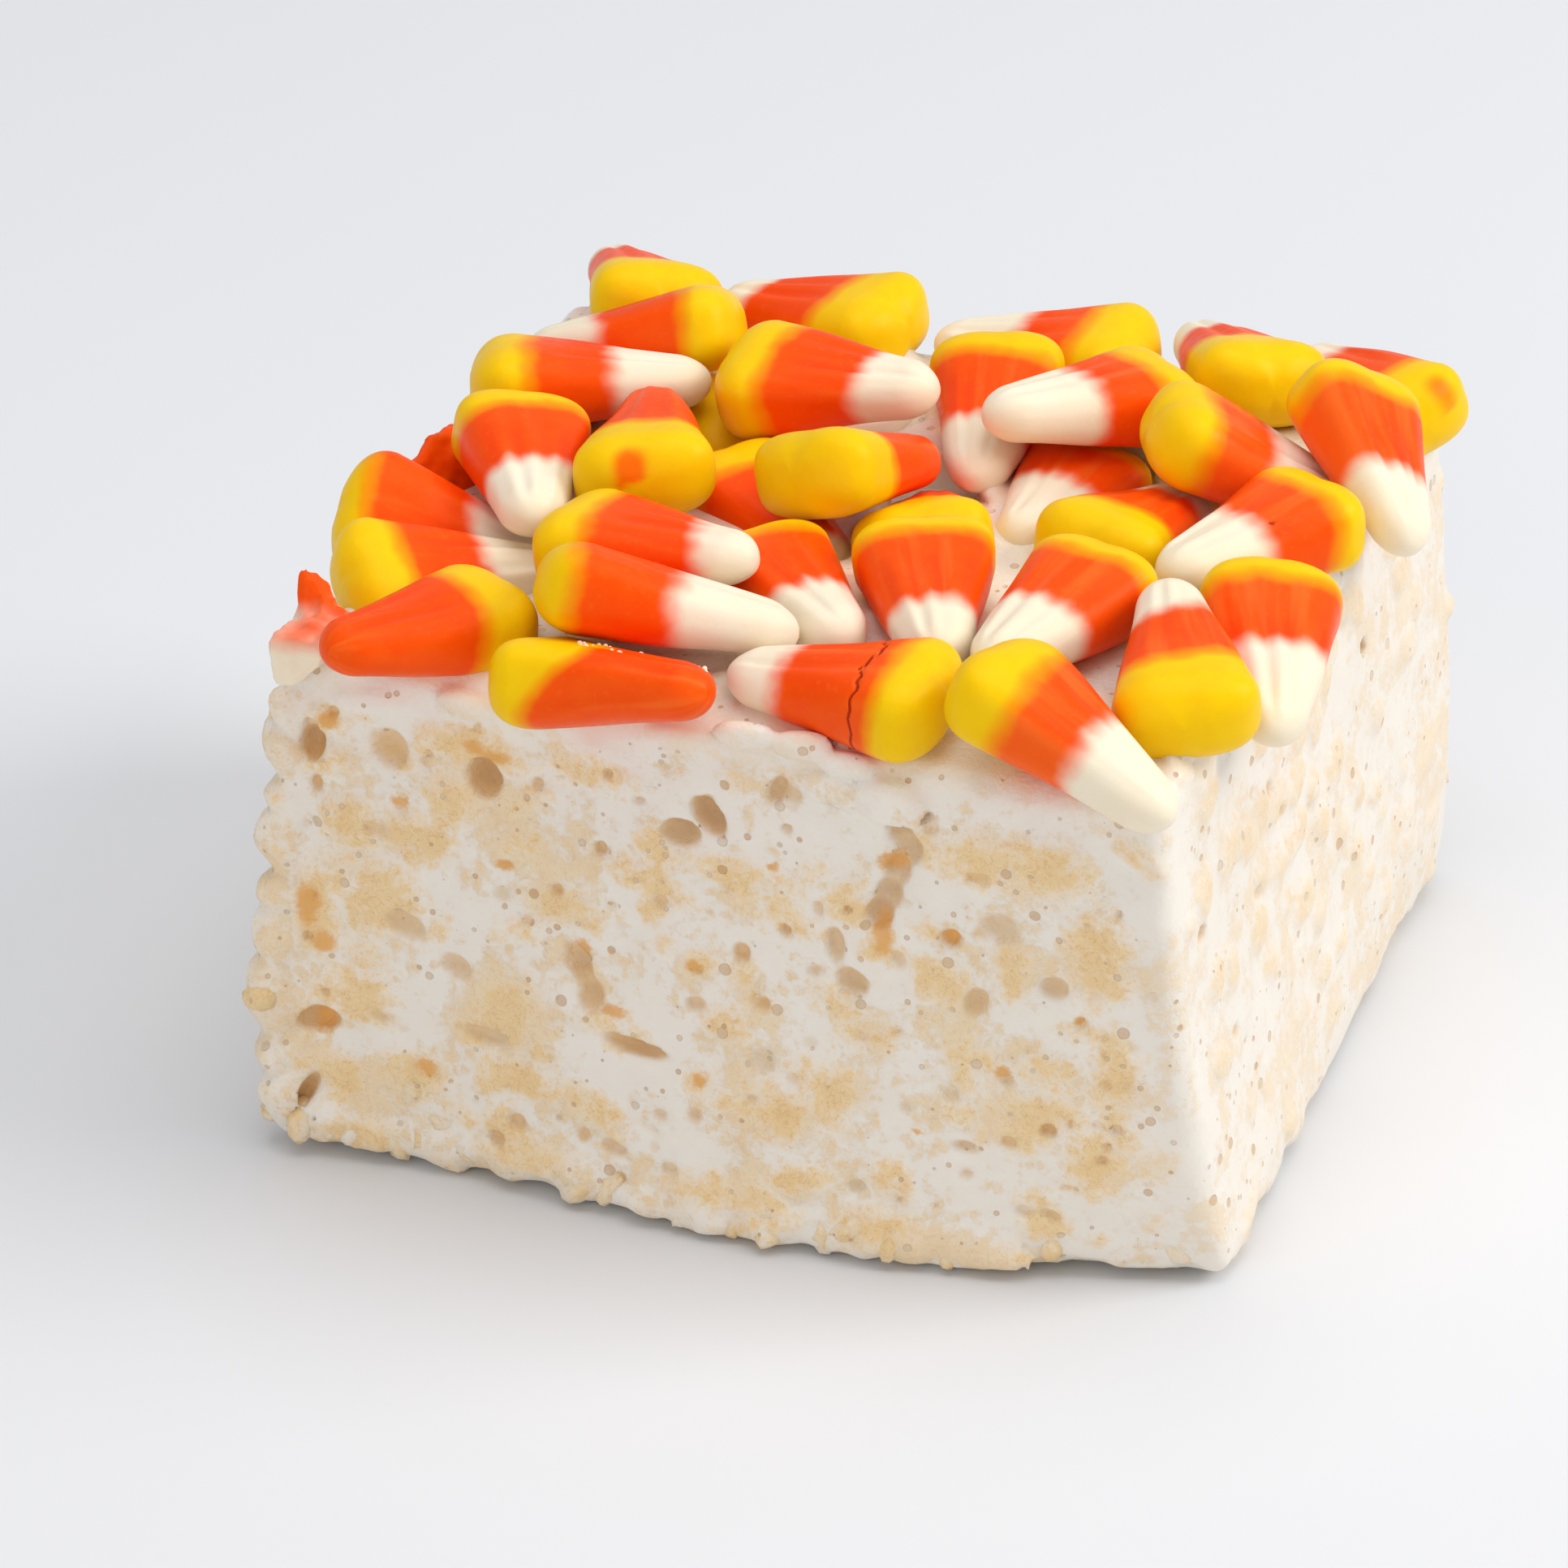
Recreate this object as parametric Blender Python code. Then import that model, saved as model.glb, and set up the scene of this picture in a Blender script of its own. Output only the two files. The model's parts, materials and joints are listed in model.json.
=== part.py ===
# A cut block of crisped rice and marshmallow, its top pressed full of candy corns.
# The block stands on z = 0 with its middle over the origin. Its cut front faces -Y.
import math

import bmesh
import bpy
import numpy as np
from mathutils import Matrix, Vector, noise

MM = 0.001

# The block, in millimetres: width along X, depth along Y, height along Z.
BLOCK_WIDTH = 80.0
BLOCK_DEPTH = 72.6
BLOCK_HEIGHT = 45.2
EDGE_RADIUS = 2.0
# The knife went in a little askew, so each corner sits off the plain box by (x, y).
TOP_SKEW = {
    "front_left": (1.3, 2.5),
    "front_right": (-2.9, -1.6),
    "back_left": (-0.4, 0.0),
    "back_right": (0.7, -1.0),
}
FOOT_SKEW = {
    "front_left": (-0.8, -1.8),
    "front_right": (2.4, 1.5),
    "back_left": (-0.8, 0.2),
    "back_right": (0.6, 1.1),
}
# The lower it is, the more a side follows the foot. The front's foot bows forward, from a share
# of the width to the right corner, and the sides swell at mid height.
FLARE = 1.6
FRONT_BOW = 4.6
BOW_START = 0.2
SIDE_BULGE = {"left": 1.7, "right": 1.6}
BULGE_POWER = 0.7
# The top is a low cushion, flat but for a short run at its rim.
TOP_RISE = 1.5
RISE_RUN = 4.0
CELLS = (19, 17, 10)

# Grains that stand out of each side, as the height of their bumps, in two sizes.
GRAIN_SPACING = 5.2
GRAIN_HEIGHT = {"front": 0.35, "back": 0.9, "left": 1.1, "right": 0.5, "top": 0.7, "foot": 1.3}
SMALL_GRAIN = {"finer": 2.1, "share": 0.5, "offset": (7, 3, 5)}
FLAT_FOOT_RADIUS = 12.0
UNDERSIDE = -0.9

# Open pores in the cut front: across, up, half width, half height, depth, lean in degrees.
FRONT_PORES = [
    (-21.2, 36.9, 1.5, 1.9, 1.6, 10),
    (-35.7, 37.6, 1.1, 1.6, 1.2, 0),
    (-29.3, 38.4, 1.7, 1.9, 1.2, 20),
    (-3.2, 36.3, 1.8, 1.4, 1.5, 0),
    (-0.9, 37.6, 1.5, 1.8, 1.6, 25),
    (4.6, 40.6, 0.9, 1.6, 1.0, -25),
    (-27.7, 19.0, 1.5, 1.2, 1.0, 0),
    (-13.4, 19.6, 2.3, 2.5, 1.2, 30),
    (-8.6, 14.8, 3.0, 0.8, 1.2, -8),
    (-21.8, 13.3, 2.4, 0.8, 1.0, -5),
    (-37.0, 12.1, 2.0, 1.2, 1.2, 0),
    (22.8, 31.3, 1.8, 1.3, 1.2, 0),
    (18.8, 29.6, 1.0, 0.9, 1.0, 0),
    (27.2, 26.5, 1.3, 1.1, 1.0, 0),
    (9.8, 24.1, 0.9, 2.3, 1.2, -15),
    (2.7, 15.2, 1.3, 1.3, 0.8, 0),
]
CREVICE = (13.5, 34.0, 2.6, 0.9, 1.8, 55)
PORE_SIDES = 8
PORE_RINGS = 6

# One whole candy corn.
CANDY_WIDTH = 11.8
CANDY_THICKNESS = 7.5
SHOULDER = 0.19
SHOULDER_POWER = 2.4
TIP_START = 0.86
WIDTH_TAPER = 0.63
THICKNESS_TAPER = 0.45
SECTION_POWER = 2.3
BASE_DIMPLE = 0.7
CANDY_SIDES = 12
CANDY_RINGS = 8
END_RING = 0.001
WIDE_END = 0.27
MIDDLE_LEVEL = 3.4
SEAT_GAP = 0.3
NEIGHBOUR_GAP = 0.35

# How the candies lie, in rows from the back left to the front right: x and y of the wide end's
# middle, lift off the common level, heading and tilt of the tip, roll (degrees) and length.
CANDIES = [
    (-29.5, 31.5, 0.0, 131, -10, 0, 20.0),
    (-10.0, 31.5, 0.0, 168, -3, 0, 20.5),
    (11.0, 32.0, 0.0, 191, 3, 0, 21.0),
    (26.0, 30.5, 0.0, 139, -5, 0, 20.5),
    (36.5, 31.0, 0.0, 138, -9, 0, 20.0),
    (-24.5, 24.0, 0.0, 212, 2, 0, 20.5),
    (-16.5, 21.5, 0.0, 8, -4, 0, 20.5),
    (3.5, 25.5, -0.6, 280, -8, 0, 20.5),
    (17.0, 22.0, 2.0, 221, 0, 0, 20.5),
    (24.0, 16.0, 1.3, 357, -15, 0, 22.0),
    (35.5, 25.5, 0.0, 297, -15, 0, 21.0),
    (-33.0, 10.0, 0.0, 20, 1, 0, 21.5),
    (-14.5, 7.0, 0.0, 25, 2, 0, 21.5),
    (-31.0, 0.5, 0.0, 296, -1, 0, 20.5),
    (-20.0, 0.0, 0.6, 107, -7, 0, 20.5),
    (-10.0, -3.5, 0.0, 326, 0, 0, 20.5),
    (-4.0, 0.0, 0.0, 64, -12, 0, 19.5),
    (6.0, -5.0, 0.6, 103, -18, 0, 20.0),
    (16.0, 9.0, 0.0, 263, 2, 0, 20.5),
    (21.0, -1.0, -0.4, 74, -8, 0, 20.0),
    (35.5, 5.5, 0.3, 242, 2, 0, 20.5),
    (-36.5, -13.0, -1.5, 347, 0, 15, 20.5),
    (-42.0, -3.5, -2.5, 15, 5, 40, 20.5),
    (-19.5, -12.0, 0.0, 350, 2, 0, 20.5),
    (-32.0, -27.0, 1.0, 30, -2, 20, 20.0),
    (-15.0, -24.0, 0.9, 12, -12, 0, 22.5),
    (-3.5, -14.0, 0.0, 314, 0, 0, 20.5),
    (8.5, -10.5, 0.0, 294, -2, 0, 20.5),
    (22.5, -11.0, 0.3, 250, -3, 0, 20.5),
    (-23.5, -29.0, -0.6, 232, 7, 0, 20.0),
    (-16.2, -32.5, -1.2, 355, 0, 0, 20.5),
    (13.6, -29.5, -0.6, 188, 2, 0, 20.5),
    (22.5, -30.5, 0.1, 345, -22, 0, 22.0),
    (35.0, -25.5, -0.3, 111, 10, 0, 20.5),
    (38.0, -9.5, 0.0, 284, -13, 0, 20.5),
    (-38.0, -24.5, 1.0, 266, -25, 0, 20.5),
]
# Two candies stood across the knife's way at the left side: what lay past it is gone,
# and the rest is torn, with the share kept from wide end to tip.
CUT_CANDIES = {23: (0.25, 0.64), 36: (0.45, 0.82)}
KNIFE_X = -38.2
TORN_SLANT = (0.35, 0.2)
WHOLE = (0.0, 1.0)

# The layout was read by eye from this place, at two places of each candy: the middle of its wide
# end, and one near its tip. A pushed candy is drawn back to those two lines of sight, a little
# to the common level and to the roll it was laid with, and to stay over the block.
EYE = (175.0, -513.0, 325.0)
READ_SHARE = 0.615
SETTLE_STEPS = 400
HELD_STEPS = 320
SETTLED = 0.01
SIGHT_HOLD = 0.25
LEVEL_HOLD = 0.01
ROLL_HOLD = 0.02
EDGE_HOLD = 0.5
MIDDLE_SHARE = 0.2
NEAREST = (-37.5, -35.5, -3.0)
FURTHEST = (39.0, 33.0, 2.4)
TILT_EASE = 0.5
BALLS_ALONG = 7
LAST_BALL = 0.89
CUT_MARGIN = 0.03
REACH = 27.0

MARSHMALLOW_COLOUR = (0.80, 0.76, 0.68, 1.0)
CANDY_COLOUR = (0.92, 0.16, 0.02, 1.0)


def clear_scene():
    for thing in list(bpy.data.objects):
        bpy.data.objects.remove(thing, do_unlink=True)


def new_collection(name):
    made = bpy.data.collections.new(name)
    bpy.context.scene.collection.children.link(made)
    return made


def plain_material(name, colour, roughness):
    made = bpy.data.materials.new(name)
    made.use_nodes = True
    shader = made.node_tree.nodes["Principled BSDF"]
    shader.inputs["Base Color"].default_value = colour
    shader.inputs["Roughness"].default_value = roughness
    shader.inputs["Metallic"].default_value = 0.0
    return made


def add_object(name, mesh, collection, material):
    mesh.materials.append(material)
    thing = bpy.data.objects.new(name, mesh)
    collection.objects.link(thing)
    return thing


def add_cutter(name, mesh, collection):
    thing = bpy.data.objects.new(name, mesh)
    collection.objects.link(thing)
    thing.hide_render = True
    thing.display_type = "WIRE"
    return thing


def skewed(corners, across, back):
    """Offset of a point of the block's top or foot, between the four corners' own."""
    total = Vector((0.0, 0.0))
    for corner, offset in corners.items():
        share_x = across if "right" in corner else 1.0 - across
        share_y = back if "back" in corner else 1.0 - back
        total += Vector(offset) * share_x * share_y
    return total


def edge_first(index, count, length):
    """Place of a grid line, with the outer ones one edge radius in from the ends."""
    if index <= 0:
        return 0.0
    if index >= count:
        return 1.0
    rim = EDGE_RADIUS / length
    return rim + (index - 1) / (count - 2) * (1.0 - 2.0 * rim)


def side_share(normal):
    """How much a surface direction belongs to each side of the block."""
    return {
        "right": max(normal.x, 0.0), "left": max(-normal.x, 0.0),
        "back": max(normal.y, 0.0), "front": max(-normal.y, 0.0),
        "top": max(normal.z, 0.0), "foot": max(-normal.z, 0.0),
    }


def grain_bump(point, normal):
    """Uneven grains: a soft wave of grain size, higher on the torn sides than on the cut ones."""
    height = sum(GRAIN_HEIGHT[side] * share for side, share in side_share(normal).items())
    place = point / GRAIN_SPACING
    wave = noise.noise(place)
    small = noise.noise(place * SMALL_GRAIN["finer"] + Vector(SMALL_GRAIN["offset"]))
    return height * (wave + SMALL_GRAIN["share"] * small)


def leaned(across, back, up):
    """Offset of a side's point by the askew cuts, and how far the front's foot bows out there."""
    foot_share = (1.0 - up) ** FLARE
    skew = skewed(TOP_SKEW, across, back) * (1.0 - foot_share) + skewed(FOOT_SKEW, across, back) * foot_share
    past = max(0.0, across - BOW_START) / (1.0 - BOW_START)
    bow = FRONT_BOW * math.sin(math.pi * past) * (1.0 - back) ** 2 * (1.0 - up) ** 2
    return skew, bow


def front_face(across, up):
    """Y of the front face at a place across and up, in millimetres, without its bumps."""
    skew, bow = leaned(across / BLOCK_WIDTH + 0.5, 0.0, up / BLOCK_HEIGHT)
    return -BLOCK_DEPTH / 2 + skew.y - bow


def shape_block_point(unit):
    """Where a point of the unit cube's surface goes on the block, in millimetres."""
    size = Vector((BLOCK_WIDTH, BLOCK_DEPTH, BLOCK_HEIGHT))
    parts = [edge_first(round((unit[k] + 0.5) * CELLS[k]), CELLS[k], size[k]) for k in range(3)]
    flat = Vector([(parts[k] - 0.5) * size[k] for k in range(3)])
    core = Vector([max(-s / 2 + EDGE_RADIUS, min(s / 2 - EDGE_RADIUS, c)) for s, c in zip(size, flat)])
    normal = (flat - core).normalized()
    point = core + normal * EDGE_RADIUS
    across, back, up = parts
    skew, bow = leaned(across, back, up)
    sides = side_share(normal)
    swell = SIDE_BULGE["right"] * sides["right"] * back - SIDE_BULGE["left"] * sides["left"]
    bulge = swell * math.sin(math.pi * up ** BULGE_POWER)
    rim_distance = min(across, 1 - across, back, 1 - back)
    rise = TOP_RISE * sides["top"] * min(1.0, RISE_RUN * rim_distance ** BULGE_POWER)
    point += Vector((skew.x + bulge, skew.y - bow, BLOCK_HEIGHT / 2 + rise))
    bump = grain_bump(point, normal)
    over_middle = normal.z < UNDERSIDE and math.hypot(point.x, point.y) < FLAT_FOOT_RADIUS
    point += normal * bump
    if over_middle or point.z < 0.0:
        point.z = 0.0
    return point


def build_block(collection, material):
    mesh = bpy.data.meshes.new("treat_block")
    cage = bmesh.new()
    bmesh.ops.create_cube(cage, size=1.0)
    for axis in range(3):
        along = [e for e in cage.edges if abs(e.verts[0].co[axis] - e.verts[1].co[axis]) > 0.9]
        bmesh.ops.subdivide_edges(cage, edges=along, cuts=CELLS[axis] - 1, use_grid_fill=True)
    for vert in cage.verts:
        vert.co = shape_block_point(vert.co.copy()) * MM
    bmesh.ops.triangulate(cage, faces=cage.faces[:])
    cage.to_mesh(mesh)
    cage.free()
    mesh.shade_smooth()
    return add_object("treat_block", mesh, collection, material)


def rounded_share(along):
    """Share of the full width left at a place along the candy, by its rounded ends."""
    if along < SHOULDER:
        return math.sqrt(max(0.0, 1.0 - ((SHOULDER - along) / SHOULDER) ** SHOULDER_POWER))
    if along > TIP_START:
        return math.sqrt(max(0.0, 1.0 - ((along - TIP_START) / (1.0 - TIP_START)) ** 2))
    return 1.0


def half_sizes(along):
    """Half width and half thickness without the round ends, from 0 (wide end) to 1 (tip)."""
    past = max(0.0, along - SHOULDER) / (1.0 - SHOULDER)
    half_width = CANDY_WIDTH / 2 * (1.0 - WIDTH_TAPER * past)
    half_thickness = CANDY_THICKNESS / 2 * (1.0 - THICKNESS_TAPER * past)
    return half_width, half_thickness


def cut_off(shape, place, outward):
    """Removes what lies past a plane and closes the cut."""
    geometry = shape.verts[:] + shape.edges[:] + shape.faces[:]
    cut = bmesh.ops.bisect_plane(shape, geom=geometry, plane_co=place, plane_no=outward, clear_outer=True)
    rim = [piece for piece in cut["geom_cut"] if isinstance(piece, bmesh.types.BMEdge)]
    bmesh.ops.contextual_create(shape, geom=rim)


def candy_mesh(name, candy, grow=0.0):
    """A candy corn along +X, its wide end's middle at the origin, from a sphere with its rings resized."""
    length = candy.length
    power = 2.0 / SECTION_POWER
    shape = bmesh.new()
    turn = Matrix.Rotation(math.radians(90), 4, "Y")
    bmesh.ops.create_uvsphere(shape, u_segments=CANDY_SIDES, v_segments=CANDY_RINGS, radius=1.0, matrix=turn)
    for vert in shape.verts:
        along = (vert.co.x + 1.0) / 2
        ring = math.hypot(vert.co.y, vert.co.z)
        at_end = ring < END_RING
        half_width, half_thickness = half_sizes(along)
        share = 0.0 if at_end else rounded_share(along)
        cosine = 0.0 if at_end else vert.co.y / ring
        sine = 0.0 if at_end else vert.co.z / ring
        wide = math.copysign(abs(cosine) ** power, cosine)
        thick = math.copysign(abs(sine) ** power, sine)
        side_push = grow * min(1.0, ring * 2)
        end_push = grow * (2 * along - 1)
        dimple = BASE_DIMPLE if at_end and along < 0.5 else 0.0
        vert.co = Vector((
            (along - WIDE_END) * length + end_push + dimple,
            wide * (half_width * share + side_push),
            thick * (half_thickness * share + side_push),
        )) * MM
    for edge, side in zip(candy.kept, (-1, 1)):
        if 0.0 < edge < 1.0:
            place = Vector((((edge - WIDE_END) * length + side * grow) * MM, 0.0, 0.0))
            cut_off(shape, place, Vector((side, *TORN_SLANT)))
    if candy.kept != WHOLE:
        to_candy = candy_frame(candy).inverted()
        knife = to_candy @ Vector(((KNIFE_X - grow) * MM, candy.place[1] * MM, candy.place[2] * MM))
        cut_off(shape, knife, to_candy.to_3x3() @ Vector((-1.0, 0.0, 0.0)))
    bmesh.ops.triangulate(shape, faces=shape.faces[:])
    bmesh.ops.recalc_face_normals(shape, faces=shape.faces[:])
    mesh = bpy.data.meshes.new(name)
    shape.to_mesh(mesh)
    shape.free()
    mesh.shade_smooth()
    return mesh


def candy_balls(length, kept):
    """Balls that fill a candy, as rows of (x, y, z, radius): the candies are pushed apart by them."""
    rows = []
    first = max(kept[0] + CUT_MARGIN, SHOULDER)
    last = min(kept[1] - CUT_MARGIN, LAST_BALL)
    for step in range(BALLS_ALONG):
        along = first + (last - first) * step / (BALLS_ALONG - 1)
        half_width, half_thickness = half_sizes(along)
        forward = (along - WIDE_END) * length
        for side in (-1, 0, 1):
            rows.append((forward, side * (half_width - half_thickness), 0.0, half_thickness))
    return np.array(rows)


def turned(heading, tilt, roll):
    """Rotation that points +X along the heading, lifts the tip by the tilt and rolls the candy."""
    return np.array(
        Matrix.Rotation(math.radians(heading), 3, "Z")
        @ Matrix.Rotation(math.radians(-tilt), 3, "Y")
        @ Matrix.Rotation(math.radians(roll), 3, "X")
    )


def sight_to(place):
    """Unit vector from the eye to a place."""
    line = np.array(place) - EYE
    return line / np.linalg.norm(line)


def small_turn(twist):
    """Rotation by a small vector of radians."""
    angle = float(np.linalg.norm(twist))
    if angle == 0.0:
        return np.eye(3)
    return np.array(Matrix.Rotation(angle, 3, Vector(twist).normalized()))


class Laid:
    """One candy as it lies on the block."""

    def __init__(self, x, y, lift, heading, tilt, roll, length, kept):
        self.home = np.array([x, y, BLOCK_HEIGHT + MIDDLE_LEVEL + lift])
        self.place = self.home.copy()
        self.turn = turned(heading, tilt, roll)
        self.upright = self.turn[:, 2].copy()
        self.length = length
        self.arms = (0.0, READ_SHARE * length)
        self.sights = [sight_to(self.at(arm)) for arm in self.arms]
        self.kept = kept
        self.balls = candy_balls(length, kept)
        self.spread = length ** 2 / 12

    def at(self, arm):
        """Place on the candy's axis, so far from the middle of its wide end."""
        return self.place + self.turn[:, 0] * arm

    def ball_places(self):
        return self.balls[:, :3] @ self.turn.T + self.place

    def give(self, arm, way):
        """How readily the candy moves when it is pushed at the end of an arm."""
        lever = np.cross(arm, way)
        return 1.0 + np.dot(lever, lever) / self.spread

    def nudge(self, push, arm, ease=1.0):
        """Moves the candy by a push that acts at the end of an arm from its wide end's middle."""
        self.place = self.place + push
        twist = np.cross(arm, push) / self.spread * (ease, ease, 1.0)
        self.turn = small_turn(twist) @ self.turn

    def hold(self, share):
        """Draws the candy back to the lines of sight that it was read by, and over the block."""
        for arm, sight in zip(self.arms, self.sights):
            reach = self.at(arm) - EYE
            away = sight * np.dot(reach, sight) - reach
            self.nudge(away * SIGHT_HOLD * share, self.turn[:, 0] * arm)
        self.place[2] += (self.home[2] - self.place[2]) * LEVEL_HOLD * share
        level = np.array([0.0, 0.0, BLOCK_HEIGHT + MIDDLE_LEVEL])
        middle = self.at(MIDDLE_SHARE * self.length)
        over = np.clip(middle, level + NEAREST, level + FURTHEST)
        self.place = self.place + (over - middle) * EDGE_HOLD * min(1.0, 3.0 * share)
        flat = np.cross(self.upright, self.turn[:, 0])
        lean = np.dot(np.cross(self.turn[:, 1], flat / np.linalg.norm(flat)), self.turn[:, 0])
        self.turn = small_turn(self.turn[:, 0] * lean * ROLL_HOLD * share) @ self.turn


def push_apart(one, other):
    """Parts two candies where they press into each other most, and says how deep that was."""
    first = one.ball_places()
    second = other.ball_places()
    between = first[:, None, :] - second[None, :, :]
    distance = np.linalg.norm(between, axis=2)
    depth = one.balls[:, None, 3] + other.balls[None, :, 3] + NEIGHBOUR_GAP - distance
    i, j = np.unravel_index(np.argmax(depth), depth.shape)
    if depth[i, j] <= 0.0:
        return 0.0
    way = between[i, j] / distance[i, j]
    arm = first[i] - one.place
    other_arm = second[j] - other.place
    step = depth[i, j] / (one.give(arm, way) + other.give(other_arm, way))
    one.nudge(way * step, arm, TILT_EASE)
    other.nudge(-way * step, other_arm, TILT_EASE)
    return depth[i, j]


def settle(laid):
    """Lets the candies find room beside and over each other, starting where they were laid."""
    for step in range(SETTLE_STEPS):
        held = max(0.0, 1.0 - step / HELD_STEPS)
        worst = 0.0
        for candy in laid:
            candy.hold(held)
        for a, one in enumerate(laid):
            for other in laid[a + 1:]:
                if np.linalg.norm(one.place - other.place) < REACH:
                    worst = max(worst, push_apart(one, other))
        if held == 0.0 and worst < SETTLED:
            break
    shift = max(float(np.linalg.norm(candy.place - candy.home)) for candy in laid)
    print(f"candies settled to {worst:.3f} mm after {step} steps, the furthest by {shift:.1f} mm")


def lay_candies():
    laid = []
    for number, row in enumerate(CANDIES, start=1):
        laid.append(Laid(*row, kept=CUT_CANDIES.get(number, WHOLE)))
    settle(laid)
    return laid


def candy_frame(candy):
    frame = Matrix(candy.turn.tolist()).to_4x4()
    frame.translation = Vector(candy.place) * MM
    return frame


def build_candies(laid, parts, cutters, material):
    for number, candy in enumerate(laid, start=1):
        name = f"candy_{number:02d}"
        corn = add_object(name, candy_mesh(name, candy), parts, material)
        corn.matrix_world = candy_frame(candy)
        seat_name = f"seat_{number:02d}"
        seat = add_cutter(seat_name, candy_mesh(seat_name, candy, SEAT_GAP), cutters)
        seat.matrix_world = candy_frame(candy)


def build_pores(cutters):
    """Hollow pores of the cut front, as flattened balls let into the face."""
    for number, pore in enumerate([*FRONT_PORES, CREVICE], start=1):
        across, up, half_width, half_height, depth, lean = pore
        mesh = bpy.data.meshes.new(f"pore_{number:02d}")
        ball = bmesh.new()
        bmesh.ops.create_uvsphere(ball, u_segments=PORE_SIDES, v_segments=PORE_RINGS, radius=1.0)
        size = Matrix.Diagonal((half_width * MM, depth * MM, half_height * MM, 1.0))
        lean_turn = Matrix.Rotation(math.radians(lean), 4, "Y")
        bmesh.ops.transform(ball, matrix=lean_turn @ size, verts=ball.verts)
        ball.to_mesh(mesh)
        ball.free()
        cutter = add_cutter(mesh.name, mesh, cutters)
        cutter.location = Vector((across, front_face(across, up), up)) * MM


def main():
    clear_scene()
    parts = new_collection("rice_crispy_treat")
    cutters = new_collection("treat_cutters")
    marshmallow = plain_material("marshmallow_and_rice", MARSHMALLOW_COLOUR, 0.55)
    sugar = plain_material("candy_sugar", CANDY_COLOUR, 0.3)
    block = build_block(parts, marshmallow)
    laid = lay_candies()
    build_candies(laid, parts, cutters, sugar)
    build_pores(cutters)
    carve = block.modifiers.new("seats_and_pores", "BOOLEAN")
    carve.operation = "DIFFERENCE"
    carve.operand_type = "COLLECTION"
    carve.collection = cutters
    carve.solver = "EXACT"


main()
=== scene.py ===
import itertools
import json
import math
from functools import partial

import bmesh
import bpy
import numpy as np
from mathutils import Matrix, Vector

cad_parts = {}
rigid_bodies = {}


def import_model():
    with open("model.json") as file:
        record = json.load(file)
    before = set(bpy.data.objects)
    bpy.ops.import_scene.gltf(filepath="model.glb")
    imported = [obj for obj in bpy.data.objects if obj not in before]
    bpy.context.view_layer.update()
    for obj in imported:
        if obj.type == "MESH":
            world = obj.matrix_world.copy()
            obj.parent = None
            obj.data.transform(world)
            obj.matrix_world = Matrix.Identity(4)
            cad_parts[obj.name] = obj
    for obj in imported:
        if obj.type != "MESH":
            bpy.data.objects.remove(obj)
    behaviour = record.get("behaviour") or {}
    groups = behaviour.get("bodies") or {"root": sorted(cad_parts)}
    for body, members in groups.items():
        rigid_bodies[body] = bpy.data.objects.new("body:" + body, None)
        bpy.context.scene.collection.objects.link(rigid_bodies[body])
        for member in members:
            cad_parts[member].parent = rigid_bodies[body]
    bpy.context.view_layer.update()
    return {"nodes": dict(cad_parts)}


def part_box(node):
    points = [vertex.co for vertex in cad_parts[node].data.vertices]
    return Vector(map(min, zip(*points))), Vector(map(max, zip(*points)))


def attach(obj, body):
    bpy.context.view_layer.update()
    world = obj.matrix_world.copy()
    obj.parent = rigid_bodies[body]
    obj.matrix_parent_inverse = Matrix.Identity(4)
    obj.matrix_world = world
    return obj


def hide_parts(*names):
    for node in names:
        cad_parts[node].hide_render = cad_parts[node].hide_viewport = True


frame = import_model()
mm = 0.001  # shapes are worked out in millimetres and stored in metres
fullTurn = 2 * math.pi
cellCorners = list(itertools.product((0, 1), repeat=3))

# The camera stands where the photograph was taken from.
cameraSet = {
    "focalPixels": 9000.0,
    "imagePixels": 1932.0,
    "sensor": 36.0,
    "yaw": 19.64,
    "elevation": 29.21,
    "roll": -1.09,
    "distance": 620.0,
    "lookHeight": 25.0,
    "offRight": -7.4,
    "offUp": -2.9,
    "clip": (0.01, 20.0),
}
lightSet = {
    "world": (0.93, 0.955, 1.0),
    "worldStrength": 0.46,
    "aim": (0.0, 0.0, 0.02),
    "lamps": {  # place, size, power, colour
        "key": ((0.75, 0.20, 0.60), 0.50, 5.0, (1.0, 0.985, 0.96)),
        "top": ((0.05, 0.02, 0.95), 0.80, 4.0, (0.97, 0.98, 1.0)),
        "fill": ((-0.10, -0.95, 0.30), 0.90, 2.4, (1.0, 0.96, 0.91)),
    },
    "floorColour": (0.765, 0.77, 0.785),
    "floorShade": 0.99,
    "floorRough": 0.7,
    "floorHalf": 3.0,
}


def addNode(tree, kind, values=None, **settings):
    made = tree.nodes.new(kind)
    for key, value in settings.items():
        setattr(made, key, value)
    for key, value in (values or {}).items():
        if isinstance(value, bpy.types.NodeSocket):
            tree.links.new(value, made.inputs[key])
        else:
            made.inputs[key].default_value = value
    return made


def nodeOutput(tree, kind, output, values=None, **settings):
    return addNode(tree, kind, values, **settings).outputs[output]


def mathNode(tree, operation, first, second=0.0, third=None):
    values = {0: first, 1: second}
    if third is not None:
        values[2] = third
    return nodeOutput(tree, "ShaderNodeMath", 0, values, operation=operation)


def stepNode(tree, value, low, high, toLow=0.0, toHigh=1.0):
    values = {"Value": value, "From Min": low, "From Max": high, "To Min": toLow, "To Max": toHigh}
    return nodeOutput(tree, "ShaderNodeMapRange", "Result", values, interpolation_type="SMOOTHSTEP")


def noiseNode(tree, vector, size, detail=2.0, rough=0.5, distortion=0.0):
    # size is the size of a blotch, in the vector's own units
    values = {"Vector": vector, "Scale": 1.0 / size, "Detail": detail, "Roughness": rough}
    return nodeOutput(tree, "ShaderNodeTexNoise", "Fac", values | {"Distortion": distortion})


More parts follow.
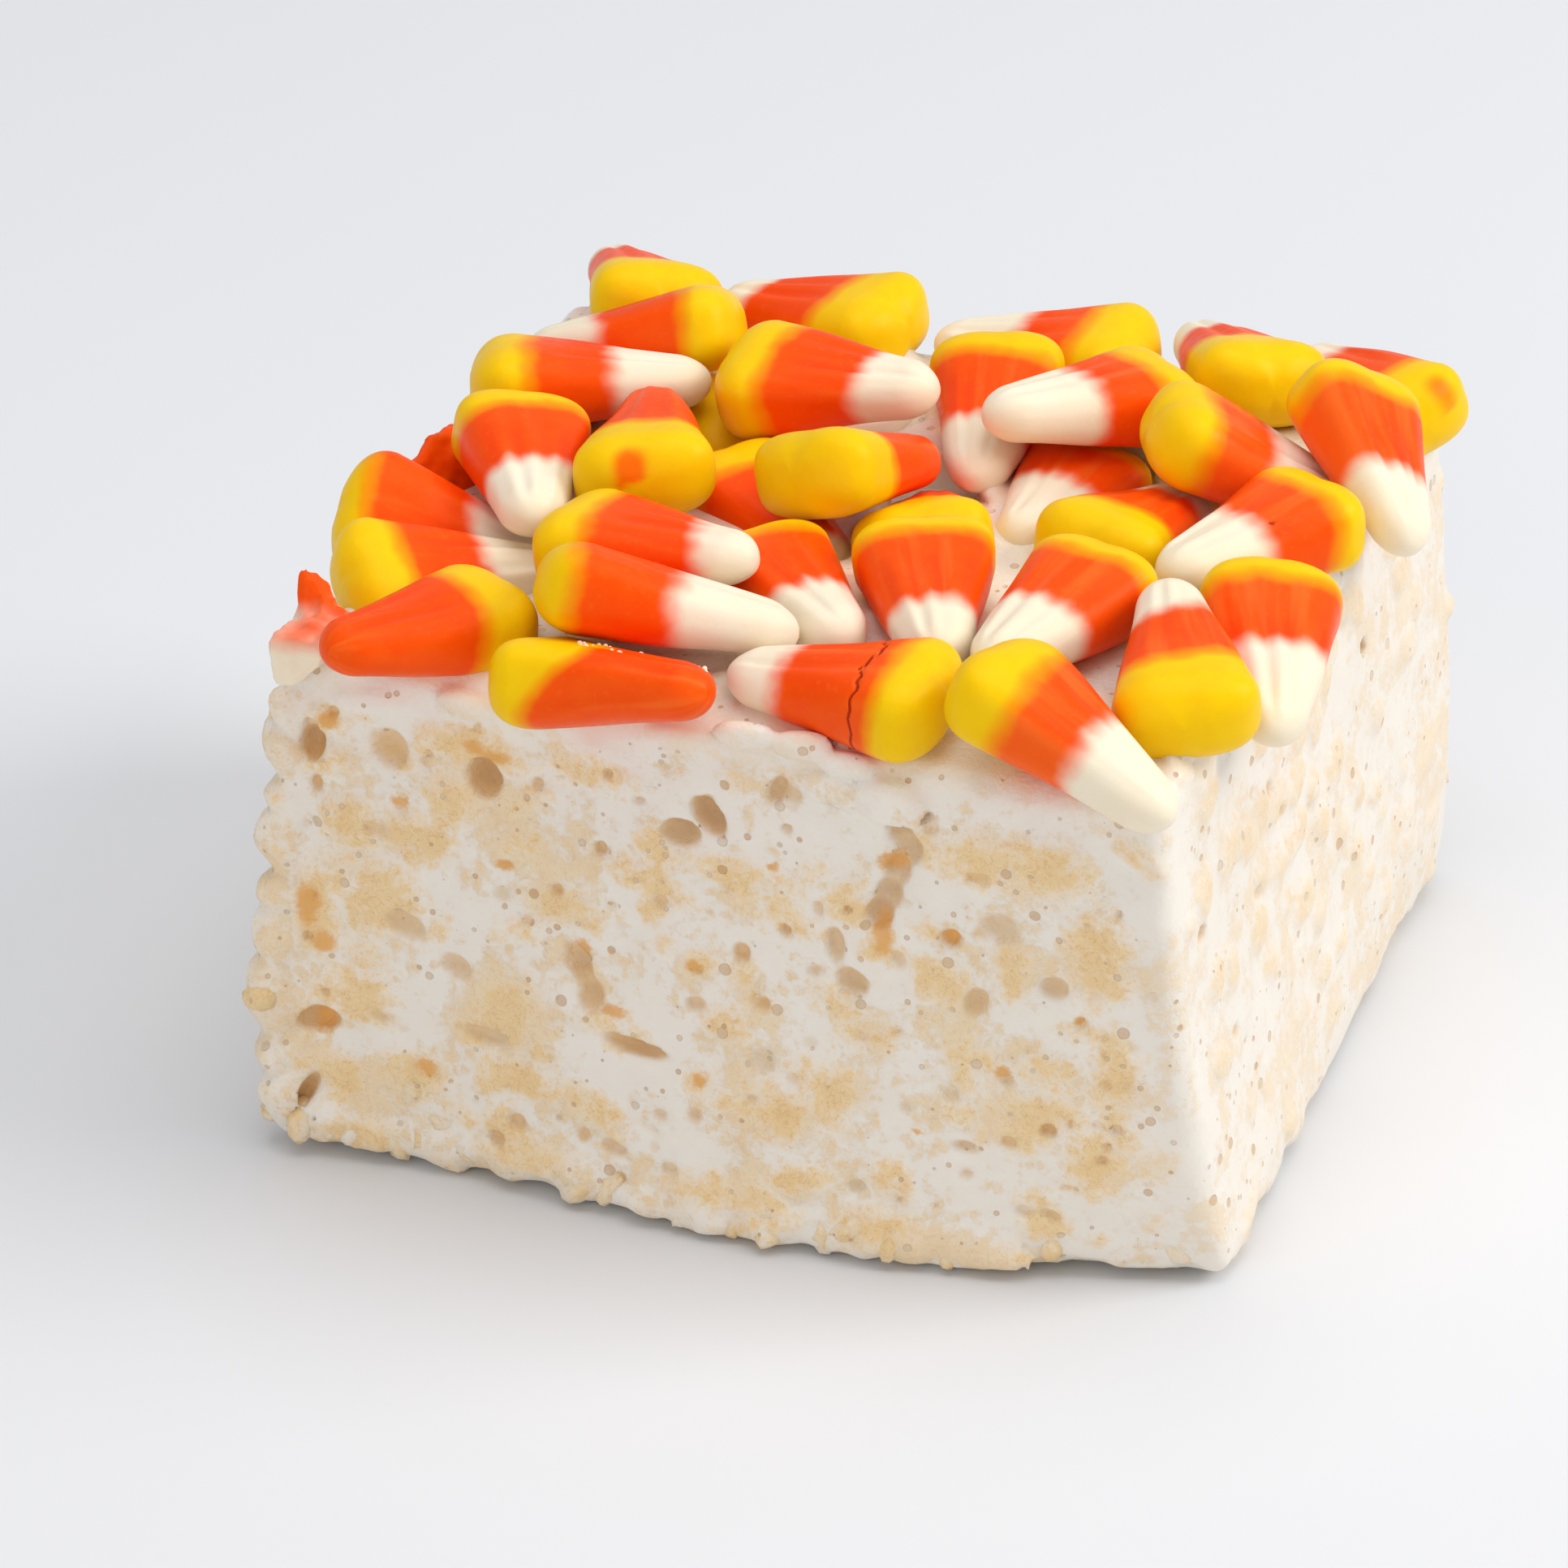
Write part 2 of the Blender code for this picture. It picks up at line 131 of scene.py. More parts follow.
def mixNode(tree, share, first, second):
    ends = [end if isinstance(end, bpy.types.NodeSocket) else (*end, 1.0) for end in (first, second)]
    return nodeOutput(tree, "ShaderNodeMix", 2, {0: share, 6: ends[0], 7: ends[1]}, data_type="RGBA")


def stirNode(tree, noise, amount, value):
    # a value, shifted up and down by a noise
    return mathNode(tree, "MULTIPLY_ADD", mathNode(tree, "SUBTRACT", noise, 0.5), amount, value)


def splitNode(tree, vector):
    return addNode(tree, "ShaderNodeSeparateXYZ", {"Vector": vector}).outputs


def pushNode(tree, geometry, along, distance):
    # geometry whose points are moved along a direction
    values = {0: along, "Scale": distance}
    offset = nodeOutput(tree, "ShaderNodeVectorMath", "Vector", values, operation="SCALE")
    return nodeOutput(tree, "GeometryNodeSetPosition", "Geometry", {"Geometry": geometry, "Offset": offset})


def attributeNode(tree, name, output="Fac"):
    return nodeOutput(tree, "ShaderNodeAttribute", output, attribute_name=name)


def toolsFor(tree):
    # the node makers above, tied to one tree
    makers = [partial(maker, tree) for maker in (stepNode, noiseNode, mixNode, stirNode)]
    return makers + [partial(mathNode, tree, name) for name in ("MULTIPLY", "MULTIPLY_ADD")]


def newMaterial(name, **shaderValues):
    made = bpy.data.materials.new(name)
    made.use_nodes = True
    tree = made.node_tree
    shader = tree.nodes["Principled BSDF"]
    for key, value in shaderValues.items():
        shader.inputs[key.replace("_", " ")].default_value = value
    return made, tree, shader, nodeOutput(tree, "ShaderNodeTexCoord", "Object")


def wireSurface(tree, shader, colour, rough, height, strength, distance):
    values = {"Height": height, "Strength": strength, "Distance": distance}
    bump = nodeOutput(tree, "ShaderNodeBump", "Normal", values)
    for key, value in (("Base Color", colour), ("Roughness", rough), ("Normal", bump)):
        tree.links.new(value, shader.inputs[key])


def smoothMin(a, b, size):
    share = np.clip(0.5 + 0.5 * (b - a) / size, 0.0, 1.0)
    return b + (a - b) * share - size * share * (1.0 - share)


def smoothStep(value, low, high):
    share = np.clip((value - low) / (high - low), 0.0, 1.0)
    return share * share * (3 - 2 * share)


def alongAxis(values, axis):
    # a row of values, laid along one axis of a grid
    return values.reshape([-1 if i == axis else 1 for i in range(3)])


def latticeNoise(axes, cell, seed):
    # smooth random values from -1 to 1 over a grid, from a coarse random lattice
    random = np.random.default_rng(seed)
    parts = []
    for axis in axes:
        place = (axis - axis[0]) / cell
        base = np.floor(place).astype(int)
        share = place - base
        parts.append((base, share * share * (3 - 2 * share)))
    values = random.uniform(-1, 1, [base[-1] + 2 for base, _ in parts]).astype(np.float32)
    for k, (base, share) in enumerate(parts):
        share = alongAxis(share, k).astype(np.float32)
        values = np.take(values, base, axis=k) * (1 - share) + np.take(values, base + 1, axis=k) * share
    return values


def betweenCells(values, bases, shares):
    # values of a grid at places between its points
    total = 0.0
    for corner in cellCorners:
        weight = 1.0
        for step, share in zip(corner, shares):
            weight = weight * (share if step else 1 - share)
        total = total + weight * values[tuple(base + step for step, base in zip(corner, bases))]
    return total


def pointNoise(points, cell, seed):
    # smooth random values from -1 to 1 at places in millimetres
    place = (points - points.min(axis=0)) / cell
    base = np.floor(place).astype(int)
    share = place - base
    share = share * share * (3 - 2 * share)
    values = np.random.default_rng(seed).uniform(-1, 1, base.max(axis=0) + 2)
    return betweenCells(values, base.T, share.T)


def sampleField(field, axes, points):
    # values of a grid field at places in millimetres
    bases, shares = [], []
    for k in range(3):
        place = np.clip((points[:, k] - axes[k][0]) / (axes[k][1] - axes[k][0]), 0, len(axes[k]) - 1.001)
        bases.append(place.astype(int))
        shares.append(place - bases[-1])
    return betweenCells(field, bases, shares)


def linkThing(name, mesh):
    thing = bpy.data.objects.new(name, mesh)
    bpy.context.scene.collection.objects.link(thing)
    return thing


def newMesh(name, points, faces, material):
    mesh = bpy.data.meshes.new(name)
    mesh.from_pydata(points, [], faces)
    mesh.update()
    mesh.shade_smooth()
    mesh.materials.append(material)
    return linkThing(name, mesh)


def plainCopy(thing, name):
    # the evaluated mesh as an object of its own, with no modifiers
    graph = bpy.context.evaluated_depsgraph_get()
    mesh = bpy.data.meshes.new_from_object(thing.evaluated_get(graph))
    mesh.name = name
    made = linkThing(name, mesh)
    bpy.data.objects.remove(thing)
    return made


def readPoints(mesh):
    points = np.empty(len(mesh.vertices) * 3, np.float32)
    mesh.vertices.foreach_get("co", points)
    return points.reshape(-1, 3)


def writePoints(mesh, points):
    mesh.vertices.foreach_set("co", np.ascontiguousarray(points, np.float32).ravel())
    mesh.update()


def writeAttribute(mesh, name, values):
    kind, field = ("FLOAT", "value") if values.ndim == 1 else ("FLOAT_VECTOR", "vector")
    layer = mesh.attributes.get(name) or mesh.attributes.new(name, kind, "POINT")
    layer.data.foreach_set(field, np.ascontiguousarray(values, np.float32).ravel())


def finishPiece(thing, node):
    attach(thing, "root")
    if node:
        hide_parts(node)


def placeCamera():
    yaw, elevation, roll = (math.radians(cameraSet[key]) for key in ("yaw", "elevation", "roll"))
    level = Vector((math.cos(yaw), math.sin(yaw), 0.0))
    flat = math.cos(elevation)
    ahead = Vector((-math.sin(yaw) * flat, math.cos(yaw) * flat, -math.sin(elevation)))
    upright = level.cross(ahead)
    target = Vector((0, 0, cameraSet["lookHeight"]))
    target += level * cameraSet["offRight"] + upright * cameraSet["offUp"]
    right = level * math.cos(roll) + upright * math.sin(roll)
    up = upright * math.cos(roll) - level * math.sin(roll)
    data = bpy.data.cameras.new("photoCamera")
    data.sensor_width = cameraSet["sensor"]
    data.lens = cameraSet["focalPixels"] / cameraSet["imagePixels"] * cameraSet["sensor"]
    data.clip_start, data.clip_end = cameraSet["clip"]
    camera = linkThing("photoCamera", data)
    place = Matrix((right, up, -ahead)).transposed().to_4x4()
    place.translation = (target - ahead * cameraSet["distance"]) * mm
    camera.matrix_world = place
    bpy.context.scene.camera = camera


def placeLights():
    world = bpy.data.worlds.new("studio")
    bpy.context.scene.world = world
    world.use_nodes = True
    back = world.node_tree.nodes["Background"]
    back.inputs["Color"].default_value = (*lightSet["world"], 1.0)
    back.inputs["Strength"].default_value = lightSet["worldStrength"]
    for name, (place, size, power, colour) in lightSet["lamps"].items():
        data = bpy.data.lights.new(name + "Light", "AREA")
        data.size, data.energy, data.color = size, power, colour
        light = linkThing(name + "Light", data)
        light.location = place
        light.rotation_euler = (Vector(lightSet["aim"]) - Vector(place)).to_track_quat("-Z", "Y").to_euler()
    bpy.context.scene.view_settings.view_transform = "Standard"


def layFloor():
    made, tree, shader, place = newMaterial("paleFloor", Roughness=lightSet["floorRough"])
    pale = lightSet["floorColour"]
    shade = [c * lightSet["floorShade"] for c in pale]
    colour = mixNode(tree, noiseNode(tree, place, 0.06, 3.0), shade, pale)
    tree.links.new(colour, shader.inputs["Base Color"])
    half = lightSet["floorHalf"]
    corners = [(-half, -half, 0), (half, -half, 0), (half, half, 0), (-half, half, 0)]
    newMesh("floor", corners, [(0, 1, 2, 3)], made)


placeCamera()
placeLights()
layFloor()
print("camera, lights and floor are in place")

# One candy corn, with the same sizes as its solid. Places along it are shares of its length.
cornSet = {
    "halfWidth": 5.9,
    "halfThickness": 3.75,
    "shoulder": 0.19,
    "shoulderPower": 2.4,
    "tipStart": 0.86,
    "widthTaper": 0.63,
    "thicknessTaper": 0.45,
    "wideEnd": 0.27,
    "boxyEnd": 3.1,
    "roundTip": 2.2,
    "rings": 60,
    "sides": 72,
    "ringCrowding": 0.55,  # how far the rings crowd towards both ends
    "flutes": (4, 6),
    "fluteSpan": 0.72,
    "fluteJitter": 0.07,
    "fluteWidth": 0.15,
    "fluteDepth": 0.26,
    "fluteRun": (0.28, 0.50, 0.84, 0.97),
    "fluteRise": (0.05, 0.55),
    "swell": 0.10,
    "cleft": 0.20,
    "cleftWidth": 0.2,
    "cleftRun": (0.02, 0.34),
    "lump": 0.13,
    "lumpWaves": ((0.31, 0.4, 0.5), (0.22, -0.5, 0.6), (0.47, 0.3, -0.4), (0.15, 0.62, 0.3),
                  (0.6, -0.3, 0.45), (0.4, 0.7, -0.6)),
    "seed": 3,
    "slants": {31: 0.0, 22: 0.04, 25: 0.0},
    "faceSlants": {31: -0.144},
    "orangeSpots": {5: (-4.2, -2.6, 0.7), 15: (-4.8, 0.8, 1.0)},
    "nicks": {21: (4.4, 2.6, 0.12)},
    "cracks": {32: (1.5, 0.16, 0.30)},
}
# For each candy: where yellow ends and where the white tip starts.
bands = {
    1: (0.36, 0.80), 2: (0.36, 0.80), 3: (0.31, 0.61), 4: (0.38, 0.72), 5: (0.30, 0.75),
    6: (0.27, 0.67), 7: (0.30, 0.72), 8: (0.27, 0.70), 9: (0.29, 0.56), 10: (0.22, 0.53),
    11: (0.25, 0.67), 12: (0.26, 0.62), 13: (0.29, 0.66), 14: (0.25, 0.66), 15: (0.37, 1.30),
    16: (0.33, 0.90), 17: (0.45, 1.30), 18: (0.38, 0.84), 19: (0.20, 0.53), 20: (0.32, 0.72),
    21: (0.25, 0.58), 22: (0.13, 0.60), 23: (0.00, 1.30), 24: (0.29, 0.76), 25: (0.28, 0.66),
    26: (0.17, 0.57), 27: (0.20, 0.66), 28: (0.24, 0.72), 29: (0.24, 0.60), 30: (0.34, 1.30),
    31: (0.335, 1.30), 32: (0.24, 0.73), 33: (0.28, 0.60), 34: (0.35, 0.72), 35: (0.22, 0.58),
    36: (0.00, 0.60),
}
# The two that the knife tore: peaks are (place, reach, pull) in millimetres.
shardSet = {
    "cell": 0.28,
    23: {"peaks": ((-36.8, -4.0, 49.4, 4.6, (-0.4, -3.6, 0.4)), (-37.8, -6.5, 48.0, 2.4, (-0.3, -1.2, 0.7))),
         "orangeAbove": 48.0, "creamBelow": 30.0},
    36: {"peaks": ((-37.2, -29.4, 51.4, 4.0, (0.3, 2.4, 1.4)), (-37.8, -34.0, 50.6, 4.2, (0.6, 0.6, -2.2)),
                   (-34.6, -33.0, 50.0, 3.0, (-0.3, 0.0, -1.6))),
         "orangeAbove": 55.0, "creamBelow": 41.6},
}
sugarLook = {
    "yellow": ((0.94, 0.53, 0.001), (0.96, 0.63, 0.004)),
    "orange": ((0.95, 0.066, 0.001), (0.97, 0.100, 0.002)),
    "grooveShade": (0.90, 0.030, 0.001),
    "ridgeHighlight": (1.0, 0.175, 0.022),
    "dust": (0.95, 0.20, 0.03),
    "white": ((0.90, 0.77, 0.56), (0.92, 0.84, 0.68)),
    "bandEdge": (0.98, 0.27, 0.001),
    "spot": (0.97, 0.16, 0.001),
    "crackShade": (0.42, 0.02, 0.001),
    "roughness": (0.32, 0.46),
    "bump": (0.22, 0.00025),
}


def cornHalves(along):
    # half width and half thickness at a share of the length from the wide end
    past = np.clip((along - cornSet["shoulder"]) / (1 - cornSet["shoulder"]), 0, 1)
    width = cornSet["halfWidth"] * (1 - cornSet["widthTaper"] * past)
    thickness = cornSet["halfThickness"] * (1 - cornSet["thicknessTaper"] * past)
    return width, thickness


def cornRounding(along):
    start = np.clip((cornSet["shoulder"] - along) / cornSet["shoulder"], 0, 1) ** cornSet["shoulderPower"]
    end = np.clip((along - cornSet["tipStart"]) / (1 - cornSet["tipStart"]), 0, 1) ** 2
    return np.sqrt(np.clip(1 - start, 0, 1)) * np.sqrt(np.clip(1 - end, 0, 1))


def findCorn(number):
    # where a whole candy's solid lies: the middle of its wide end, its turn and its length
    node = frame["nodes"][f"candy_{number:02d}"]
    points = np.unique(np.round(readPoints(node.data).astype(float) / mm, 4), axis=0)
    middle = points.mean(axis=0)
    _, _, rows = np.linalg.svd(points - middle, full_matrices=False)
    axis, wide = rows[0], rows[1]
    places = (points - middle) @ axis
    reach = np.abs((points - middle) @ wide)
    if reach[places > 0].max() > reach[places < 0].max():
        axis, places = -axis, -places
    thick = np.cross(axis, wide)
    if thick[2] < 0:
        wide, thick = -wide, -thick
    length = places.max() - places.min()
    origin = middle + axis * places.min() + axis * cornSet["wideEnd"] * length
    return {"origin": origin, "turn": np.stack([axis, wide, thick], axis=1), "length": length}


def cornMaterial():
    made, tree, shader, place = newMaterial(
        "cornSugar", Roughness=0.38, Subsurface_Weight=0.10, Subsurface_Scale=0.0010,
        Subsurface_Radius=(1.0, 0.4, 0.1), Specular_IOR_Level=0.20, Specular_Tint=(1.0, 0.72, 0.35, 1.0)
    )
    step, noise, mix, stir, times, timesAdd = toolsFor(tree)
    look = sugarLook
    along, across, flute = splitNode(tree, attributeNode(tree, "cornPlace", "Vector"))
    yellowEdge, whiteEdge, marks = splitNode(tree, attributeNode(tree, "cornBands", "Vector"))
    wobble = noise(place, 0.0050, 2.0)
    mid = noise(place, 0.0018, 3.0)
    fine = noise(place, 0.0006, 3.0, 0.6)
    shifted = stir(mid, 0.045, stir(wobble, 0.09, along))
    pastYellow = step(mathNode(tree, "SUBTRACT", shifted, yellowEdge), -0.055, 0.065)
    fingers = timesAdd(flute, -0.024, shifted)
    pastWhite = step(mathNode(tree, "SUBTRACT", fingers, whiteEdge), -0.070, 0.050)
    yellow = mix(mid, *look["yellow"])
    orange = mix(mid, *look["orange"])
    # painted shade: the orange turns deeper red down in the flute grooves
    orange = mix(times(flute, 0.5), orange, look["grooveShade"])
    # painted highlight: pale streaks of sheen run along the orange, as on its ridges
    run = {"X": times(along, 0.4), "Y": across, "Z": times(splitNode(tree, place)["X"], 5.0)}
    run = nodeOutput(tree, "ShaderNodeCombineXYZ", "Vector", run)
    orange = mix(times(step(noise(run, 0.34, 2.0), 0.50, 0.74), 0.55), orange, look["ridgeHighlight"])
    orange = mix(times(step(fine, 0.56, 0.72), 0.18), orange, look["dust"])
    white = mix(wobble, *look["white"])
    between = times(times(pastYellow, mathNode(tree, "SUBTRACT", 1.0, pastYellow)), 1.6)
    colour = mix(pastYellow, yellow, orange)
    colour = mix(between, colour, look["bandEdge"])
    colour = mix(pastWhite, colour, white)
    colour = mix(step(marks, 0.15, 0.85), colour, look["spot"])
    # painted shade: dark red in the crack and at the nick
    colour = mix(step(marks, -0.3, -0.7), colour, look["crackShade"])
    rough = step(fine, 0.3, 0.75, *look["roughness"])
    wireSurface(tree, shader, colour, rough, timesAdd(mid, 0.7, times(fine, 0.4)), *look["bump"])
    return made


def buildCorn(number, found, material):
    random = np.random.default_rng(cornSet["seed"] * 1000 + number)
    length, sides = found["length"], cornSet["sides"]
    share = np.linspace(0, 1, (3 if number in cornSet["cracks"] else 1) * cornSet["rings"] + 1)
    crowding = cornSet["ringCrowding"]
    along = (crowding * (1 - np.cos(np.pi * share)) / 2 + (1 - crowding) * share)[1:-1, None]
    angle = np.linspace(0, fullTurn, sides, endpoint=False)[None, :]
    halfWidth, halfThickness = cornHalves(along)
    rounding = cornRounding(along)
    boxy = cornSet["boxyEnd"] + (cornSet["roundTip"] - cornSet["boxyEnd"]) * smoothStep(along, 0.1, 0.9)
    cosine, sine = np.cos(angle), np.sin(angle)
    wide = np.sign(cosine) * np.abs(cosine) ** (2 / boxy)
    thick = np.sign(sine) * np.abs(sine) ** (2 / boxy)
    # flutes run down the upper face towards the tip
    upper = smoothStep(sine, *cornSet["fluteRise"])
    run = smoothStep(along, *cornSet["fluteRun"][:2]) * (1 - smoothStep(along, *cornSet["fluteRun"][2:]))
    count = int(random.integers(*cornSet["flutes"]))
    flute = np.zeros_like(wide + along)
    span, jitter = cornSet["fluteSpan"], cornSet["fluteJitter"]
    for place in np.linspace(-span, span, count) + random.uniform(-jitter, jitter, count):
        strength = random.uniform(0.45, 1.0)
        wander = place + random.uniform(-0.05, 0.05) * np.sin(5 * along + place)
        flute = np.maximum(flute, strength * np.exp(-(((wide - wander) / cornSet["fluteWidth"]) ** 2)))
    flute = flute * run * upper
    swell = run * upper * cornSet["swell"] * np.cos((wide - place) * 9)
    cleft = np.exp(-((wide / cornSet["cleftWidth"]) ** 2)) * (1 - smoothStep(along, *cornSet["cleftRun"]))
    cleft = cleft * random.uniform(0.4, 1.0) * cornSet["cleft"]
    phases = random.uniform(0, fullTurn, 6)
    x = (along - cornSet["wideEnd"]) * length + 0 * angle
    y = wide * halfWidth * rounding
    z = thick * halfThickness * rounding
    waves = zip(cornSet["lumpWaves"], phases)
    lump = sum(np.sin(x * kx + y * ky + z * kz + phase) for (kx, ky, kz), phase in waves)
    lump = lump / 3 * cornSet["lump"] * np.minimum(1.0, rounding * 1.5)
    y = y + lump * cosine + random.uniform(-0.5, 0.5) * (along - 0.4) ** 2
    z = z + lump * sine - flute * cornSet["fluteDepth"] + swell - cleft * 0.7 * upper
    x = x + cleft * (1 - smoothStep(along, 0.0, 0.12))
    marks = np.zeros_like(x)
    if number in cornSet["orangeSpots"]:
        offX, offY, strength = cornSet["orangeSpots"][number]
        away = ((x - offX) / 1.3) ** 2 + ((y - offY) / 1.6) ** 2
        marks = np.exp(-away) * smoothStep(thick, -0.2, 0.3) * strength
    if number in cornSet["nicks"]:
        offX, offY, size = cornSet["nicks"][number]
        # the nick is marked for a painted dark red shade
        marks = -np.exp(-((x - offX) ** 2 + (y - offY) ** 2) / size) * smoothStep(sine, 0.0, 0.3)
    if number in cornSet["cracks"]:
        middle, width, depth = cornSet["cracks"][number]
        # the crack is cut in and marked for its painted dark red shade
        jag = middle + 0.30 * np.sin(y * 1.3) + 0.16 * np.sin(y * 4.3 + 1) + 0.12 * np.sin(z * 3.0)
        crack = np.exp(-(((x - jag) / width) ** 2))
        marks = -crack
        z = z - depth * crack * upper
    points = np.stack([x, y, z], axis=-1).reshape(-1, 3)
    ends = [[-cornSet["wideEnd"] * length + cleft[0].max(), 0, 0], [(1 - cornSet["wideEnd"]) * length, 0, 0]]
    points = np.concatenate([points, ends]) @ found["turn"].T + found["origin"]
    last = len(x) * sides - sides
    rim = [(j, (j + 1) % sides) for j in range(sides)]
    faces = [(i + j, i + k, i + sides + k, i + sides + j) for i in range(0, last, sides) for j, k in rim]
    for j, k in rim:
        faces += [(last + sides, k, j), (last + sides + 1, last + j, last + k)]
    thing = newMesh(f"candyCorn{number:02d}", (points * mm).tolist(), faces, material)
    slant = cornSet["slants"].get(number, random.uniform(-0.05, 0.05))
    lay = along + slant * wide + cornSet["faceSlants"].get(number, 0.02) * thick
    # the third value is the flute depth, for the white fingers and the painted shade in the grooves
    place = np.stack([lay, wide + 0 * along, flute], axis=-1).reshape(-1, 3)
    writeAttribute(thing.data, "cornPlace", np.concatenate([place, [[0, 0, 0], [1, 0, 0]]]))
    side = np.concatenate([marks.reshape(-1), [0, 0]])
    band = np.stack([np.full_like(side, edge) for edge in bands[number]] + [side], axis=-1)
    writeAttribute(thing.data, "cornBands", band)
    return thing


def buildShard(number, material):
    # a torn end of a candy: its solid's form, made rough, with peaks pulled up from it
    spec = shardSet[number]
    copy = bmesh.new()
    copy.from_mesh(frame["nodes"][f"candy_{number:02d}"].data)
    bmesh.ops.remove_doubles(copy, verts=copy.verts, dist=1e-6)
    mesh = bpy.data.meshes.new("tornCopy")
    copy.to_mesh(mesh)
    copy.free()
    raw = linkThing("tornCopy", mesh)
    fresh = raw.modifiers.new("fresh", "REMESH")
    fresh.mode = "VOXEL"
    fresh.voxel_size = shardSet["cell"] * mm
    shard = plainCopy(raw, f"candyCorn{number:02d}")
    shard.data.materials.clear()
    shard.data.materials.append(material)
    shard.data.shade_smooth()
    points = readPoints(shard.data) / mm
    normals = np.array([tuple(v.normal) for v in shard.data.vertices])
    fold = 0.5 - np.abs(pointNoise(points * (1.0, 1.0, 0.4), 1.3, number + 80))
    rough = 0.30 * pointNoise(points, 1.6, number) + 0.16 * pointNoise(points, 0.7, number + 50) + 0.22 * fold
    points = points + normals * rough[:, None]
    for x, y, z, reach, pull in spec["peaks"]:
        away = np.clip(np.sqrt(((points - (x, y, z)) ** 2).sum(axis=1)) / reach, 0, 1)
        points = points + ((1 - away) ** 1.4)[:, None] * np.array(pull)
    writePoints(shard.data, points * mm)
    top, bottom = spec["orangeAbove"], spec["creamBelow"]
    along = 0.5 + 0.5 * (top - points[:, 2]) / (top - bottom)
    # the third value, how far the rough face sinks, sets painted shade in its pits
    writeAttribute(shard.data, "cornPlace", np.stack([along, 0 * along, np.clip(-rough, 0, 1)], axis=-1))
    writeAttribute(shard.data, "cornBands", np.tile((-1.0, 0.75, 0.0), (len(points), 1)))
    return shard


sugar = cornMaterial()
laid = {}
for number in bands:
    if number in shardSet:
        corn = buildShard(number, sugar)
    else:
        laid[number] = findCorn(number)
        corn = buildCorn(number, laid[number], sugar)
    finishPiece(corn, f"candy_{number:02d}")
print(f"{len(laid)} whole candies are laid")

scatterSet = {
    "density": 4e6,
    "floorGap": 0.02,
    "noise": 0.9 * mm,
    "grains": {"Spacing": 2.3 * mm, "Smallest": 0.8 * mm, "Largest": 1.4 * mm, "Stretch": 1.6,
               "Roughness": 0.9 * mm, "Sink": 1.0 * mm, "Seed": 7},
    "crumbs": {"Spacing": 0.30 * mm, "Smallest": 0.09 * mm, "Largest": 0.24 * mm, "Stretch": 1.4,
               "Roughness": 0.22 * mm, "Sink": 0.04 * mm, "Seed": 12},
    # crumbs of sugar on the candies: (candy, across, along from the wide end, half size), shares of its sizes
    "crumbSpots": (
        (31, -0.10, 0.40, 0.06), (31, 0.05, 0.46, 0.04), (31, 0.10, 0.66, 0.03), (31, 0.25, 0.72, 0.03),
        (31, 0.45, 0.94, 0.05), (31, 0.10, 0.92, 0.04), (31, -0.25, 0.58, 0.03), (30, -0.10, 0.93, 0.02),
    ),
}


def scatterTree(name):
    # rough little balls strewn over a mesh, by its attribute "spread"
    tree = bpy.data.node_groups.new(name, "GeometryNodeTree")
    labels = ("Spacing", "Smallest", "Largest", "Stretch", "Roughness", "Sink")
    kinds = {"Geometry": "Geometry", **dict.fromkeys(labels, "Float"), "Seed": "Int", "Material": "Material"}
    for label, kind in kinds.items():
        tree.interface.new_socket(label, in_out="INPUT", socket_type="NodeSocket" + kind)
    tree.interface.new_socket("Geometry", in_out="OUTPUT", socket_type="NodeSocketGeometry")
    given = tree.nodes.new("NodeGroupInput").outputs
    made = partial(nodeOutput, tree)
    times = partial(mathNode, tree, "MULTIPLY")
    spread = made("GeometryNodeInputNamedAttribute", "Attribute", {"Name": "spread"}, data_type="FLOAT")
    values = {"Mesh": given["Geometry"], "Distance Min": given["Spacing"], "Seed": given["Seed"],
              "Density Max": scatterSet["density"], "Density Factor": spread}
    strewn = addNode(tree, "GeometryNodeDistributePointsOnFaces", values, distribute_method="POISSON").outputs
    points = pushNode(tree, strewn["Points"], strewn["Normal"], times(given["Sink"], -1.0))
    ball = made("GeometryNodeMeshUVSphere", "Mesh", {"Segments": 10, "Rings": 6, "Radius": 1.0})
    values = {1: (fullTurn,) * 3, 8: given["Seed"]}
    turn = made("FunctionNodeRandomValue", 0, values, data_type="FLOAT_VECTOR")
    values = {2: given["Smallest"], 3: given["Largest"], 8: given["Seed"]}
    size = made("FunctionNodeRandomValue", 1, values, data_type="FLOAT")
    values = {"X": times(size, given["Stretch"]), "Y": size, "Z": size}
    scale = made("ShaderNodeCombineXYZ", "Vector", values)
    values = {"Points": points, "Instance": ball, "Rotation": turn, "Scale": scale}
    placed = made("GeometryNodeInstanceOnPoints", "Instances", values)
    loose = made("GeometryNodeRealizeInstances", "Geometry", {"Geometry": placed})
    noise = noiseNode(tree, made("GeometryNodeInputPosition", "Position"), scatterSet["noise"], 1.0)
    bump = times(mathNode(tree, "SUBTRACT", noise, 0.5), given["Roughness"])
    rough = pushNode(tree, loose, made("GeometryNodeInputNormal", "Normal"), bump)
    smooth = made("GeometryNodeSetShadeSmooth", 0, {0: rough})
    values = {"Geometry": smooth, "Material": given["Material"]}
    done = made("GeometryNodeSetMaterial", "Geometry", values)
    tree.links.new(done, tree.nodes.new("NodeGroupOutput").inputs["Geometry"])
    return tree


def strew(bed, name, spec, material):
    # what the tree strews over a bed mesh, as a plain mesh; the bed goes
    strewn = bed.modifiers.new("strewn", "NODES")
    strewn.node_group = scatter
    values = dict(spec, Material=material)
    for item in scatter.interface.items_tree:
        if item.in_out == "INPUT" and item.name in values:
            strewn[item.identifier] = values[item.name]
    made = plainCopy(bed, name)
    made.data.materials.clear()
    made.data.materials.append(material)
    points = readPoints(made.data)
    points[:, 2] = np.maximum(points[:, 2], scatterSet["floorGap"] * mm)
    writePoints(made.data, points)
    return made


